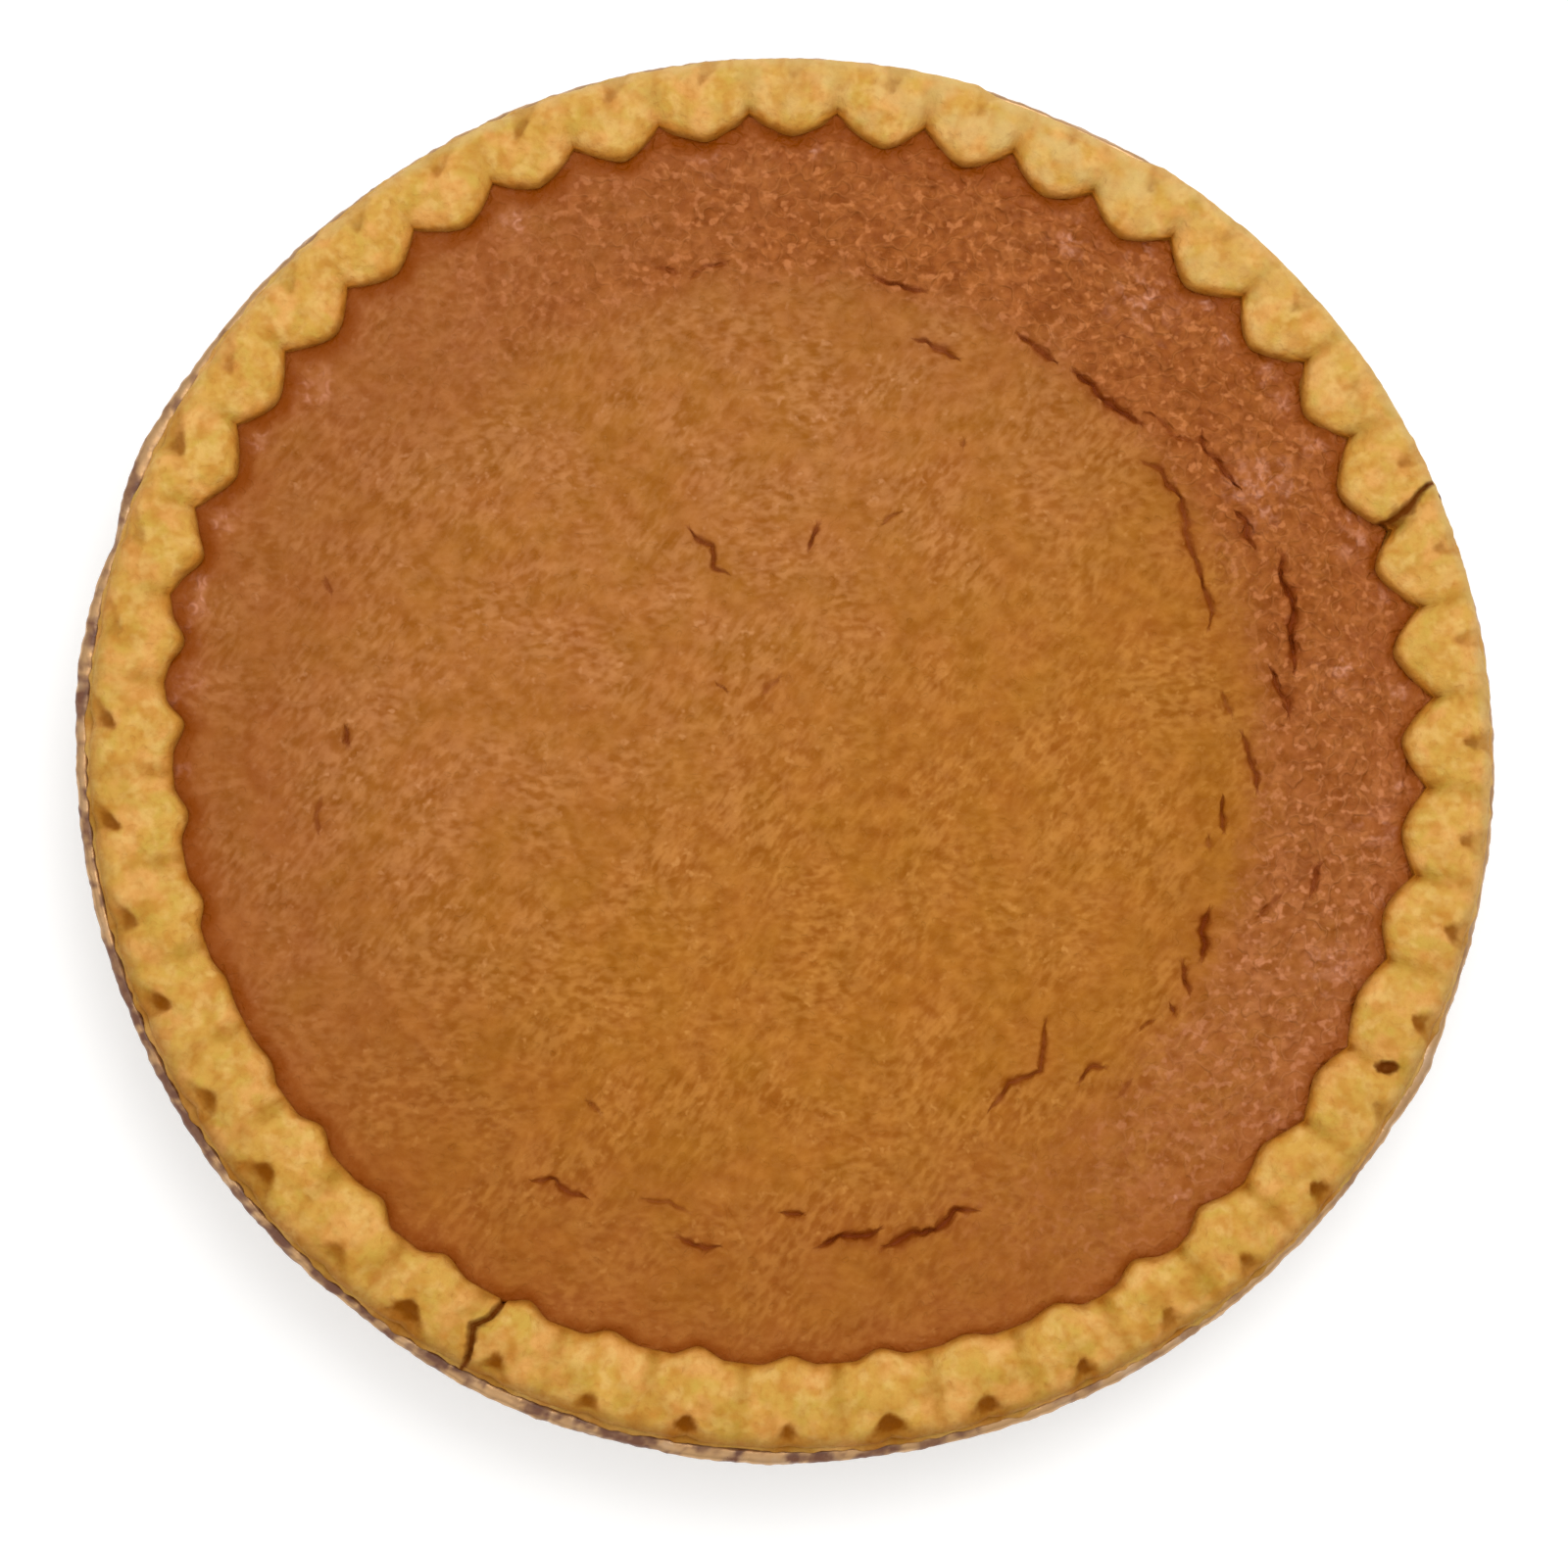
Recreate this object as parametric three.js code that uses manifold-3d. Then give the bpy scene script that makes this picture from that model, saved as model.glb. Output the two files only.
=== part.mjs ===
import * as THREE from "three";
import Module from "manifold-3d";

// A whole pumpkin pie in its own foil tin: a pressed tin, a pastry crust with a pinched
// fluted rim, and a baked custard filling that has cracked in a ring as it cooled.
// Millimetres, +Z up. The origin is the middle of the tin's flat bottom, where it stands.

const degree = Math.PI / 180;
const flutes = 44; // scallops pinched round the rim
const flutePitch = (2 * Math.PI) / flutes;
const plainPhases = [0, 0.5]; // a plain ring has one point at each lobe and each cleft
const finePhases = [0, 0.15, 0.35, 0.5, 0.65, 0.85]; // a rim ring crowds its points at the cleft
const gap = 0.35; // clearance between pieces that touch

// The tin: thin pressed foil with a sloping wall, a narrow flange and a rolled bead.
const tin = {
  outerRadius: 152.4, // half of 12 inches, over the bead
  beadRadius: 1.6,
  sheet: 0.6, // thicker than real foil, which is about 0.1
  bottomRadius: 117.6,
  cornerRadius: 119.6, // where the bottom's corner turns into the wall
  cornerHeight: 1,
  wallTopRadius: 142,
  wallTopHeight: 27.2,
  flangeRadius: 143.1,
  flangeHeight: 28,
};

// The crust: a pastry shell whose rim is pushed in at each lobe and pinched out at each cleft.
const crust = {
  baseThickness: 3.7,
  wallThickness: 5.2,
  flangeEdge: 147.9, // where the pastry steps up to pass over the bead
  lipRadius: 150.6, // the rim's outer edge, wider towards one side
  lipSwing: 1.1,
  lipSwingAngle: 50 * degree,
  lipBottom: 30.1,
  lipTop: 31,
  lobeRadius: 131.7, // how far each lobe pushes in over the filling
  lobeSwing: 0.5,
  lobeSwingAngle: 60 * degree,
  cleftRadius: 136.4, // how far each cleft reaches out between two lobes
  cleftSwing: 2.4,
  cleftSwingAngle: 80 * degree,
  lobeTop: 36.6,
  cleftTop: 35.8,
  toeHeight: 32.4, // where the rim's inner face meets the filling
  footInset: 0.5, // the rim's outer foot stands this far inside the lip
  notchDepth: 1.8, // the V-shaped thumb mark behind each lobe, deeper towards one side
  notchSwing: 1,
  notchSwingAngle: 240 * degree,
  notchReach: 0.3, // its half width, as a share of the way from lobe to cleft
  foldSharpness: 1.6, // exponent of the sharp folds' sides
  foldRoundTowards: 250 * degree, // on this side of the pie the folds are rounded instead
  foldRoundStart: -0.2, // cosines of the way from there at which the rounding starts and is full
  foldRoundFull: 0.8,
  foldRoundReach: 0.85, // how far into a rounded fold its sides run before it turns
  roundness: 2.5, // exponent of the rim's rounded section: 2 is an ellipse
  sectionSteps: [0, 24, 48, 70, 90, 112, 135, 158, 180],
  slowWave: 0.2, // unevenness of the rim's top, in long and in short waves
  quickWave: 0.14,
  wallTurnHeight: 28.5, // below this the inner wall is plain
};

// Stretches of the rim that lean out or, where negative, in: how far at the lobes, at the clefts
// and at the lip. Below them are the single lobes that reach further out or in than the rest.
const leans = [
  { angle: 202 * degree, halfWidth: 34 * degree, lobes: -1.6, clefts: -2.6, lip: 0 },
  { angle: 25 * degree, halfWidth: 36 * degree, lobes: 0, clefts: 2, lip: 0 },
  { angle: 102 * degree, halfWidth: 18 * degree, lobes: 0.5, clefts: -0.6, lip: 0 },
  { angle: 335 * degree, halfWidth: 22 * degree, lobes: 0.5, clefts: 0, lip: 0 },
  { angle: 272 * degree, halfWidth: 18 * degree, lobes: -0.5, clefts: 0, lip: 0 },
  { angle: 66 * degree, halfWidth: 9 * degree, lobes: 0, clefts: 0, lip: -1.6 },
];
const leanFlat = 0.6; // the share of a stretch's half width where it leans in full
const oddLobes = new Map([[3, -1.3], [30, 0.8]]);

// How unevenly the rim is pinched. Angles first, then millimetres, then a share.
const pinching = {
  drift: -0.2 * degree,
  driftSwing: 0.45 * degree,
  driftTowards: 15 * degree,
  lobeShift: 0.28 * degree,
  cleftShift: 0.2 * degree,
  lobeReach: 0.7,
  cleftReach: 0.6,
  lobeRise: 0.45,
  cleftRise: 0.35,
  notchShare: 0.3,
};

// The filling: it sinks in the middle and stays proud in a ring beside the crust.
const filling = {
  centreHeight: 30.8,
  ringRise: 1.9,
  ringStart: 84,
  ringEnd: 112,
  edgeDrop: 0.3,
  edgeDropStart: 121,
  edgeDropEnd: 131,
  swell: 0.22, // low waves left by pouring and baking
  edgeStep: 2.2,
  outerRadii: [127, 119, 112, 105.5, 99, 91, 80],
  innerRadii: [62, 40, 20],
};

// Cracks in the filling: angle in degrees and radius at each end, how far the middle bows
// outwards, then width and depth.
const fillingCracks = [
  { from: [61, 101.9], to: [55.3, 101], bow: -0.2, width: 1.1, depth: 2 },
  { from: [52.8, 101.8], to: [42.5, 103.1], bow: -0.8, width: 1.7, depth: 3 },
  { from: [37.2, 111.8], to: [29.4, 111.6], bow: -0.6, width: 1.2, depth: 2.2 },
  { from: [27.7, 108.4], to: [22.7, 109], bow: 0.4, width: 1.2, depth: 2 },
  { from: [20.9, 113], to: [7.8, 109.3], bow: 1.2, width: 1.7, depth: 3 },
  { from: [38.6, 98.2], to: [15.3, 93.4], bow: 1.6, width: 1, depth: 1.8 },
  { from: [8.7, 103.9], to: [2.9, 106.8], bow: 0.2, width: 1.2, depth: 2.2 },
  { from: [360.7, 97], to: [353.7, 100.3], bow: 0.5, width: 1.1, depth: 2 },
  { from: [352.4, 93.1], to: [347.8, 94.4], bow: -0.2, width: 1.2, depth: 2.2 },
  { from: [346.6, 116.2], to: [343.2, 115.3], bow: 0, width: 1.4, depth: 2.4 },
  { from: [337.4, 96.5], to: [331.5, 98.9], bow: -0.4, width: 1.9, depth: 3 },
  { from: [329.8, 95.9], to: [326.4, 100.6], bow: 0, width: 1.4, depth: 2.4 },
  { from: [308, 85.5], to: [297.5, 89.6], bow: 1, width: 1.2, depth: 2 },
  { from: [290.7, 107], to: [280.2, 109.5], bow: -0.3, width: 1.8, depth: 3 },
  { from: [279.4, 105.6], to: [272.9, 107.6], bow: 0.3, width: 1.6, depth: 2.8 },
  { from: [240, 108.7], to: [246, 107.5], bow: -0.8, width: 1.3, depth: 2.2 },
  { from: [116.4, 51], to: [112.8, 38.6], bow: 0, width: 1.3, depth: 2.2 },
  { from: [80.3, 103.9], to: [73.8, 102.7], bow: -0.3, width: 1.1, depth: 2 },
];
const crackStations = 5;

// Splits through the pastry rim, and one burst bubble in it.
const crustCracks = [
  { from: [243, 133], to: [242.7, 150.2], bow: 0, width: 1.7, depth: 4.5 },
  { from: [20.4, 138.6], to: [21.7, 149.5], bow: 0, width: 1.5, depth: 3.4 },
  { from: [330.6, 141.8], to: [331.4, 147.2], bow: 0, width: 3.2, depth: 2.4 },
];

// ---- shape rules -------------------------------------------------------------------------

// A repeatable number between -1 and 1 for the unevenness of hand-pinched pastry.
function unevenness(index, kind) {
  const wave = Math.sin(index * 12.9898 + kind * 78.233) * 43758.5453;
  return 2 * (wave - Math.floor(wave)) - 1;
}

function mix(start, end, share) {
  return start + (end - start) * share;
}

function smoothStep(start, end, value) {
  const share = Math.min(1, Math.max(0, (value - start) / (end - start)));
  return share * share * (3 - 2 * share);
}

function swing(middle, amount, towards, angle) {
  return middle + amount * Math.cos(angle - towards);
}

function leanOf(edge, angle) {
  return leans.reduce((sum, lean) => {
    const away = Math.acos(Math.cos(angle - lean.angle)) / lean.halfWidth;
    return sum + lean[edge] * (1 - smoothStep(leanFlat, 1, away));
  }, 0);
}

function pinchedAngle(angle, shift) {
  return angle + swing(pinching.drift, pinching.driftSwing, pinching.driftTowards, angle) + shift;
}

// One lobe: where it stands, how far it reaches in, how high it is and how deep its thumb mark is.
function lobeShape(index) {
  const flute = index % flutes;
  const angle = index * flutePitch;
  const reach = swing(crust.lobeRadius, crust.lobeSwing, crust.lobeSwingAngle, angle)
    + leanOf("lobes", angle) + (oddLobes.get(flute) ?? 0);
  const notch = swing(crust.notchDepth, crust.notchSwing, crust.notchSwingAngle, angle);
  return {
    angle: pinchedAngle(angle, pinching.lobeShift * unevenness(flute, 1)),
    inner: reach + pinching.lobeReach * unevenness(flute, 2),
    top: crust.lobeTop + pinching.lobeRise * unevenness(flute, 3),
    notch: notch * (1 + pinching.notchShare * unevenness(flute, 4)),
  };
}

// The cleft that follows the lobe of the same number.
function cleftShape(index) {
  const angle = (index + 0.5) * flutePitch;
  const reach = swing(crust.cleftRadius, crust.cleftSwing, crust.cleftSwingAngle, angle)
    + leanOf("clefts", angle);
  return {
    angle: pinchedAngle(angle, pinching.cleftShift * unevenness(index, 5)),
    inner: reach + pinching.cleftReach * unevenness(index, 6),
    top: crust.cleftTop + pinching.cleftRise * unevenness(index, 7),
  };
}

function lipRadius(angle) {
  return swing(crust.lipRadius, crust.lipSwing, crust.lipSwingAngle, angle) + leanOf("lip", angle);
}

// How far a fold has run from its lobe, 0, to its cleft, 1. Sharp folds run like a V, and the
// rounded ones turn in an arc.
function foldRun(share, angle) {
  const facing = Math.cos(angle - crust.foldRoundTowards);
  const rounded = smoothStep(crust.foldRoundStart, crust.foldRoundFull, facing);
  const turned = smoothStep(0, crust.foldRoundReach, share);
  return mix(share ** crust.foldSharpness, turned, rounded);
}

// The rim's plan and height at a place given by its flute and its phase in that flute.
function rimShape(index, phase) {
  const lobe = lobeShape(phase < 0.5 ? index : index + 1);
  const cleft = cleftShape(index);
  const share = 1 - Math.abs(1 - 2 * phase); // 0 at the lobe, 1 at the cleft
  const angle = mix(lobe.angle, cleft.angle, share);
  const notch = lobe.notch * Math.max(0, 1 - share / crust.notchReach);
  return {
    angle,
    inner: mix(lobe.inner, cleft.inner, foldRun(share, angle)),
    outer: lipRadius(angle) - crust.footInset - notch,
    top: mix(lobe.top, cleft.top, smoothStep(0, 1, share)),
  };
}

// A point of the rim's rounded section: step 0 is the outer foot and 180 degrees is the inner toe.
function rimPoint(rim, step) {
  const across = Math.cos(step * degree);
  const up = Math.sin(step * degree);
  const power = 2 / crust.roundness;
  const radius = (rim.inner + rim.outer) / 2
    + ((rim.outer - rim.inner) / 2) * Math.sign(across) * Math.abs(across) ** power;
  const foot = mix(crust.lipTop, crust.toeHeight, (1 - across) / 2);
  const quick = crust.quickWave * Math.sin(31 * rim.angle + 3 * step * degree);
  const waves = crust.slowWave * Math.sin(5 * rim.angle) + quick;
  return [radius, foot + (rim.top - foot) * Math.abs(up) ** power + up * waves];
}

// The filling's top, sunk in the middle and proud beside the crust.
function fillingHeight(radius, angle) {
  const ring = filling.ringRise * smoothStep(filling.ringStart, filling.ringEnd, radius);
  const drop = filling.edgeDrop * smoothStep(filling.edgeDropStart, filling.edgeDropEnd, radius);
  const reach = radius / filling.edgeDropEnd;
  const waves = Math.sin(2 * angle + 1) + 0.8 * Math.sin(3 * angle - 0.7) * reach;
  const calm = 1 - smoothStep(filling.edgeDropStart, filling.edgeDropEnd, radius);
  return filling.centreHeight + ring - drop + filling.swell * reach * waves * calm;
}

// ---- closed surfaces of revolution with uneven rings ---------------------------------------

// A ring of points, one for each phase of each flute. place gives [angle, radius, height].
function makeRing(phases, place) {
  const points = [];
  for (let flute = 0; flute < flutes; flute += 1) {
    for (const phase of phases) {
      const [angle, radius, height] = place(flute, phase);
      points.push({ turn: flute + phase, at: [radius * Math.cos(angle), radius * Math.sin(angle), height] });
    }
  }
  return points;
}

function plainRing(radius, height) {
  return makeRing(plainPhases, (flute, phase) => [(flute + phase) * flutePitch, radius, height]);
}

// Joins rings, in order from the middle of the underside round to the middle of the top.
function closedSurface(bottomHeight, rings, topHeight) {
  const positions = [0, 0, bottomHeight];
  const faces = [];
  const starts = rings.map((ring) => {
    const start = positions.length / 3;
    ring.forEach((point) => positions.push(...point.at));
    return start;
  });
  const topIndex = positions.length / 3;
  positions.push(0, 0, topHeight);

  const first = rings[0];
  first.forEach((point, index) => {
    faces.push(0, starts[0] + ((index + 1) % first.length), starts[0] + index);
  });
  for (let row = 0; row + 1 < rings.length; row += 1) {
    stitch(rings[row], starts[row], rings[row + 1], starts[row + 1], faces);
  }
  const last = rings[rings.length - 1];
  const lastStart = starts[rings.length - 1];
  last.forEach((point, index) => {
    faces.push(lastStart + index, lastStart + ((index + 1) % last.length), topIndex);
  });
  return { positions, faces };
}

// Fills the strip between two rings, which may have different numbers of points.
function stitch(lower, lowerStart, upper, upperStart, faces) {
  const turnOf = (ring, index) => (index < ring.length ? ring[index].turn : flutes);
  let i = 0;
  let j = 0;
  while (i < lower.length || j < upper.length) {
    const here = lowerStart + (i % lower.length);
    const across = upperStart + (j % upper.length);
    const lowerNext = i < lower.length ? turnOf(lower, i + 1) : Infinity;
    const upperNext = j < upper.length ? turnOf(upper, j + 1) : Infinity;
    if (lowerNext < upperNext || (lowerNext === upperNext && lower.length >= upper.length)) {
      i += 1;
      faces.push(here, lowerStart + (i % lower.length), across);
    } else {
      j += 1;
      faces.push(here, upperStart + (j % upper.length), across);
    }
  }
}

// ---- solids, cuts and meshes ---------------------------------------------------------------

const library = await Module();
library.setup();

function solidOf(surface) {
  return new library.Manifold(new library.Mesh({
    numProp: 3,
    vertProperties: new Float32Array(surface.positions),
    triVerts: new Uint32Array(surface.faces),
  }));
}

function surfaceOf(solid) {
  const mesh = solid.getMesh();
  return { positions: mesh.vertProperties, faces: mesh.triVerts };
}

// A wedge that tapers at both ends and follows a crack, open side up.
function crackCutter(crack, surfaceHeight) {
  const positions = [];
  const faces = [];
  const clear = 3; // how far the wedge stands above the surface
  const alongRadius = crack.to[1] - crack.from[1];
  const alongArc = (crack.to[0] - crack.from[0]) * degree * crack.from[1];
  const length = Math.hypot(alongArc, alongRadius);
  for (let station = 0; station < crackStations; station += 1) {
    const share = station / (crackStations - 1);
    const taper = mix(0.3, 1, Math.sin(Math.PI * share));
    const angle = mix(crack.from[0], crack.to[0], share) * degree;
    const radius = mix(crack.from[1], crack.to[1], share) + crack.bow * Math.sin(Math.PI * share);
    const height = surfaceHeight(radius, angle);
    const halfTop = (crack.width / 2) * taper * (1 + clear / crack.depth);
    const middle = new THREE.Vector3(radius * Math.cos(angle), radius * Math.sin(angle), 0);
    const outward = new THREE.Vector3(Math.cos(angle), Math.sin(angle), 0);
    const round = new THREE.Vector3(-Math.sin(angle), Math.cos(angle), 0);
    const side = outward.multiplyScalar(alongArc / length).addScaledVector(round, -alongRadius / length);
    const left = middle.clone().addScaledVector(side, -halfTop);
    const right = middle.clone().addScaledVector(side, halfTop);
    positions.push(left.x, left.y, height + clear);
    positions.push(right.x, right.y, height + clear);
    positions.push(middle.x, middle.y, height - crack.depth * taper);
  }
  const end = 3 * (crackStations - 1);
  faces.push(0, 2, 1, end, end + 1, end + 2);
  for (let base = 0; base < end; base += 3) {
    faces.push(base, base + 1, base + 3, base + 1, base + 4, base + 3);
    faces.push(base + 1, base + 2, base + 4, base + 2, base + 5, base + 4);
    faces.push(base + 2, base, base + 5, base, base + 3, base + 5);
  }
  return solidOf({ positions, faces });
}

function cutCracks(solid, cracks, surfaceHeight) {
  return cracks.reduce((left, crack) => left.subtract(crackCutter(crack, surfaceHeight)), solid);
}

function makeMesh(name, surface, material) {
  const geometry = new THREE.BufferGeometry();
  geometry.setAttribute("position", new THREE.BufferAttribute(new Float32Array(surface.positions), 3));
  geometry.setIndex(new THREE.BufferAttribute(new Uint32Array(surface.faces), 1));
  geometry.computeVertexNormals();
  const mesh = new THREE.Mesh(geometry, material);
  mesh.name = name;
  return mesh;
}

// ---- the tin -------------------------------------------------------------------------------

const wallRun = tin.wallTopRadius - tin.cornerRadius;
const wallRise = tin.wallTopHeight - tin.cornerHeight;
const wallLength = Math.hypot(wallRun, wallRise);
const sheetAcross = (tin.sheet * wallRise) / wallLength; // the sheet's thickness, square to the wall
const sheetUp = (tin.sheet * wallRun) / wallLength;

function makeTin() {
  const beadMiddle = tin.outerRadius - tin.beadRadius;
  const flangeTop = tin.flangeHeight + tin.sheet;
  const onBead = (turn) => plainRing(
    beadMiddle + tin.beadRadius * Math.cos(turn * degree),
    tin.flangeHeight + tin.beadRadius * Math.sin(turn * degree),
  );
  const flangeMeetsBead = beadMiddle - Math.sqrt(tin.beadRadius ** 2 - tin.sheet ** 2);
  const rings = [
    plainRing(tin.bottomRadius, 0),
    plainRing(tin.cornerRadius, tin.cornerHeight),
    plainRing(tin.wallTopRadius, tin.wallTopHeight),
    plainRing(tin.flangeRadius, tin.flangeHeight),
    ...[180, -120, -60, 0, 55, 110].map(onBead),
    plainRing(flangeMeetsBead, flangeTop),
    plainRing(tin.flangeRadius - tin.sheet / 2, flangeTop),
    plainRing(tin.wallTopRadius - sheetAcross, tin.wallTopHeight + sheetUp),
    plainRing(tin.cornerRadius - sheetAcross, tin.cornerHeight + sheetUp),
    plainRing(tin.bottomRadius - tin.sheet / 2, tin.sheet),
  ];
  const foil = new THREE.MeshStandardMaterial({ color: 0xc9bdb6, roughness: 0.32, metalness: 0.95 });
  return makeMesh("tin", closedSurface(0, rings, tin.sheet), foil);
}

// ---- the crust -----------------------------------------------------------------------------

// The line of the tin wall's inner face, moved inwards by an inset, at a height.
function wallRadius(height, inset) {
  const foot = tin.cornerRadius - sheetAcross - (inset * wallLength) / wallRise;
  return foot + (wallRun / wallRise) * (height - tin.cornerHeight - sheetUp);
}

function rimRing(step) {
  return makeRing(finePhases, (flute, phase) => {
    const rim = rimShape(flute, phase);
    const [radius, height] = rimPoint(rim, step);
    return [rim.angle, radius, height];
  });
}

function lipRing(height) {
  return makeRing(plainPhases, (flute, phase) => {
    const angle = (flute + phase) * flutePitch;
    return [angle, lipRadius(angle), height];
  });
}

const baseBottom = tin.sheet + gap;
const baseTop = baseBottom + crust.baseThickness;
const crustInset = gap + crust.wallThickness;
const wallTurnRadius = wallRadius(crust.wallTurnHeight, crustInset);
const corner = 1; // the small slope where a floor turns into a wall

function makeCrust() {
  const flangeBottom = tin.flangeHeight + tin.sheet + gap;
  const wallTop = tin.wallTopHeight + sheetUp;
  const rings = [
    plainRing(tin.bottomRadius - corner, baseBottom),
    plainRing(wallRadius(baseBottom + corner, gap), baseBottom + corner),
    plainRing(wallRadius(wallTop, gap), wallTop),
    plainRing(tin.flangeRadius - corner, flangeBottom),
    plainRing(crust.flangeEdge, flangeBottom),
    plainRing(crust.flangeEdge, crust.lipBottom),
    lipRing(crust.lipBottom),
    lipRing(crust.lipTop),
    ...crust.sectionSteps.map(rimRing),
    plainRing(wallTurnRadius, crust.wallTurnHeight),
    plainRing(wallRadius(baseTop + corner, crustInset), baseTop + corner),
    plainRing(wallRadius(baseTop, crustInset) - corner, baseTop),
  ];
  const whole = solidOf(closedSurface(baseBottom, rings, baseTop));
  const cut = cutCracks(whole, crustCracks, () => crust.cleftTop);
  const pastry = new THREE.MeshStandardMaterial({ color: 0xcc9650, roughness: 0.72, metalness: 0 });
  return makeMesh("crust", surfaceOf(cut), pastry);
}

// ---- the filling ---------------------------------------------------------------------------

// The filling's edge follows the rim's toe at a constant clearance, whatever way the toe runs.
function fillingEdge(flute, phase) {
  const rim = rimShape(flute, phase);
  const nearby = 0.05;
  const before = rimShape(flute, Math.max(0, phase - nearby));
  const after = rimShape(flute, phase + nearby);
  const slope = (after.inner - before.inner) / ((after.angle - before.angle) * rim.inner);
  return [rim.angle, rim.inner - gap * Math.hypot(1, slope)];
}

function makeFilling() {
  const edge = makeRing(finePhases, (flute, phase) => [...fillingEdge(flute, phase), crust.toeHeight]);
  const insideEdge = makeRing(finePhases, (flute, phase) => {
    const [angle, edgeRadius] = fillingEdge(flute, phase);
    const radius = edgeRadius - filling.edgeStep;
    return [angle, radius, fillingHeight(radius, angle)];
  });
  const topRing = (phases) => (radius) => makeRing(phases, (flute, phase) => {
    const angle = (flute + phase) * flutePitch;
    return [angle, radius, fillingHeight(radius, angle)];
  });
  const bottom = baseTop + gap;
  const inset = crustInset + gap;
  const rings = [
    plainRing(wallRadius(bottom, inset) - corner, bottom),
    plainRing(wallRadius(bottom + corner, inset), bottom + corner),
    plainRing(wallRadius(crust.wallTurnHeight, inset), crust.wallTurnHeight),
    edge,
    insideEdge,
    ...filling.outerRadii.map(topRing(plainPhases)),
    ...filling.innerRadii.map(topRing([0])),
  ];
  const whole = solidOf(closedSurface(bottom, rings, fillingHeight(0, 0)));
  const cut = cutCracks(whole, fillingCracks, fillingHeight);
  const custard = new THREE.MeshStandardMaterial({ color: 0xb06d2d, roughness: 0.5, metalness: 0 });
  return makeMesh("filling", surfaceOf(cut), custard);
}

const pumpkinPie = new THREE.Group();
pumpkinPie.add(makeTin(), makeCrust(), makeFilling());

export default pumpkinPie;
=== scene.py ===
import math

import bpy
import numpy as np
from mathutils import Matrix, Vector, geometry, noise


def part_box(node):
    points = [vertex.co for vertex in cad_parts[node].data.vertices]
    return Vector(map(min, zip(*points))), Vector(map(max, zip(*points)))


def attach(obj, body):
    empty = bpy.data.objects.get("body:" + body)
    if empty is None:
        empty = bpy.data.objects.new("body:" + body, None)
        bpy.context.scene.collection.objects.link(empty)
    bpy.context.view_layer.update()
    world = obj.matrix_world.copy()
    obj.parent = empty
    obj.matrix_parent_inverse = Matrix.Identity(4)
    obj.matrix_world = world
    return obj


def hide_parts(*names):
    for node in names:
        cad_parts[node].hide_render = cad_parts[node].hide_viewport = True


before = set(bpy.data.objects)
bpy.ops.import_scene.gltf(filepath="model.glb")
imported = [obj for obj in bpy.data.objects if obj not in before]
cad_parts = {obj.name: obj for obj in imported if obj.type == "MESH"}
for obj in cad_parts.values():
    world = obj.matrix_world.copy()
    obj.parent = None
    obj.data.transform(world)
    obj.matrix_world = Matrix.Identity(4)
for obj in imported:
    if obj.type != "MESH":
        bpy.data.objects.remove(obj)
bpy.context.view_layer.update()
tinLow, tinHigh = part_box("tin")
mm = 0.001
print("frame loaded")

# The camera looks down on the whole pie from slightly beyond its near edge
pieCamera = {
    "standsAt": (-45.0 * mm, -129.1 * mm, 870.8 * mm),
    "aimsAt": (-1.9 * mm, -7.6 * mm, 32 * mm),
    "lens": 91.2,
    "sensorWidth": 36,
}


def makeCamera(setup):
    data = bpy.data.cameras.new("pieCamera")
    data.lens = setup["lens"]
    data.sensor_width = setup["sensorWidth"]
    data.dof.use_dof = False
    view = bpy.data.objects.new("pieCamera", data)
    bpy.context.scene.collection.objects.link(view)
    place = Vector(setup["standsAt"])
    back = (place - Vector(setup["aimsAt"])).normalized()
    right = Vector((0, 1, 0)).cross(back).normalized()  # the picture's up is the pie's +Y
    turned = Matrix((right, back.cross(right), back)).transposed()
    view.matrix_world = Matrix.Translation(place) @ turned.to_4x4()
    bpy.context.scene.camera = view


makeCamera(pieCamera)
print("camera ready")

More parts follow.
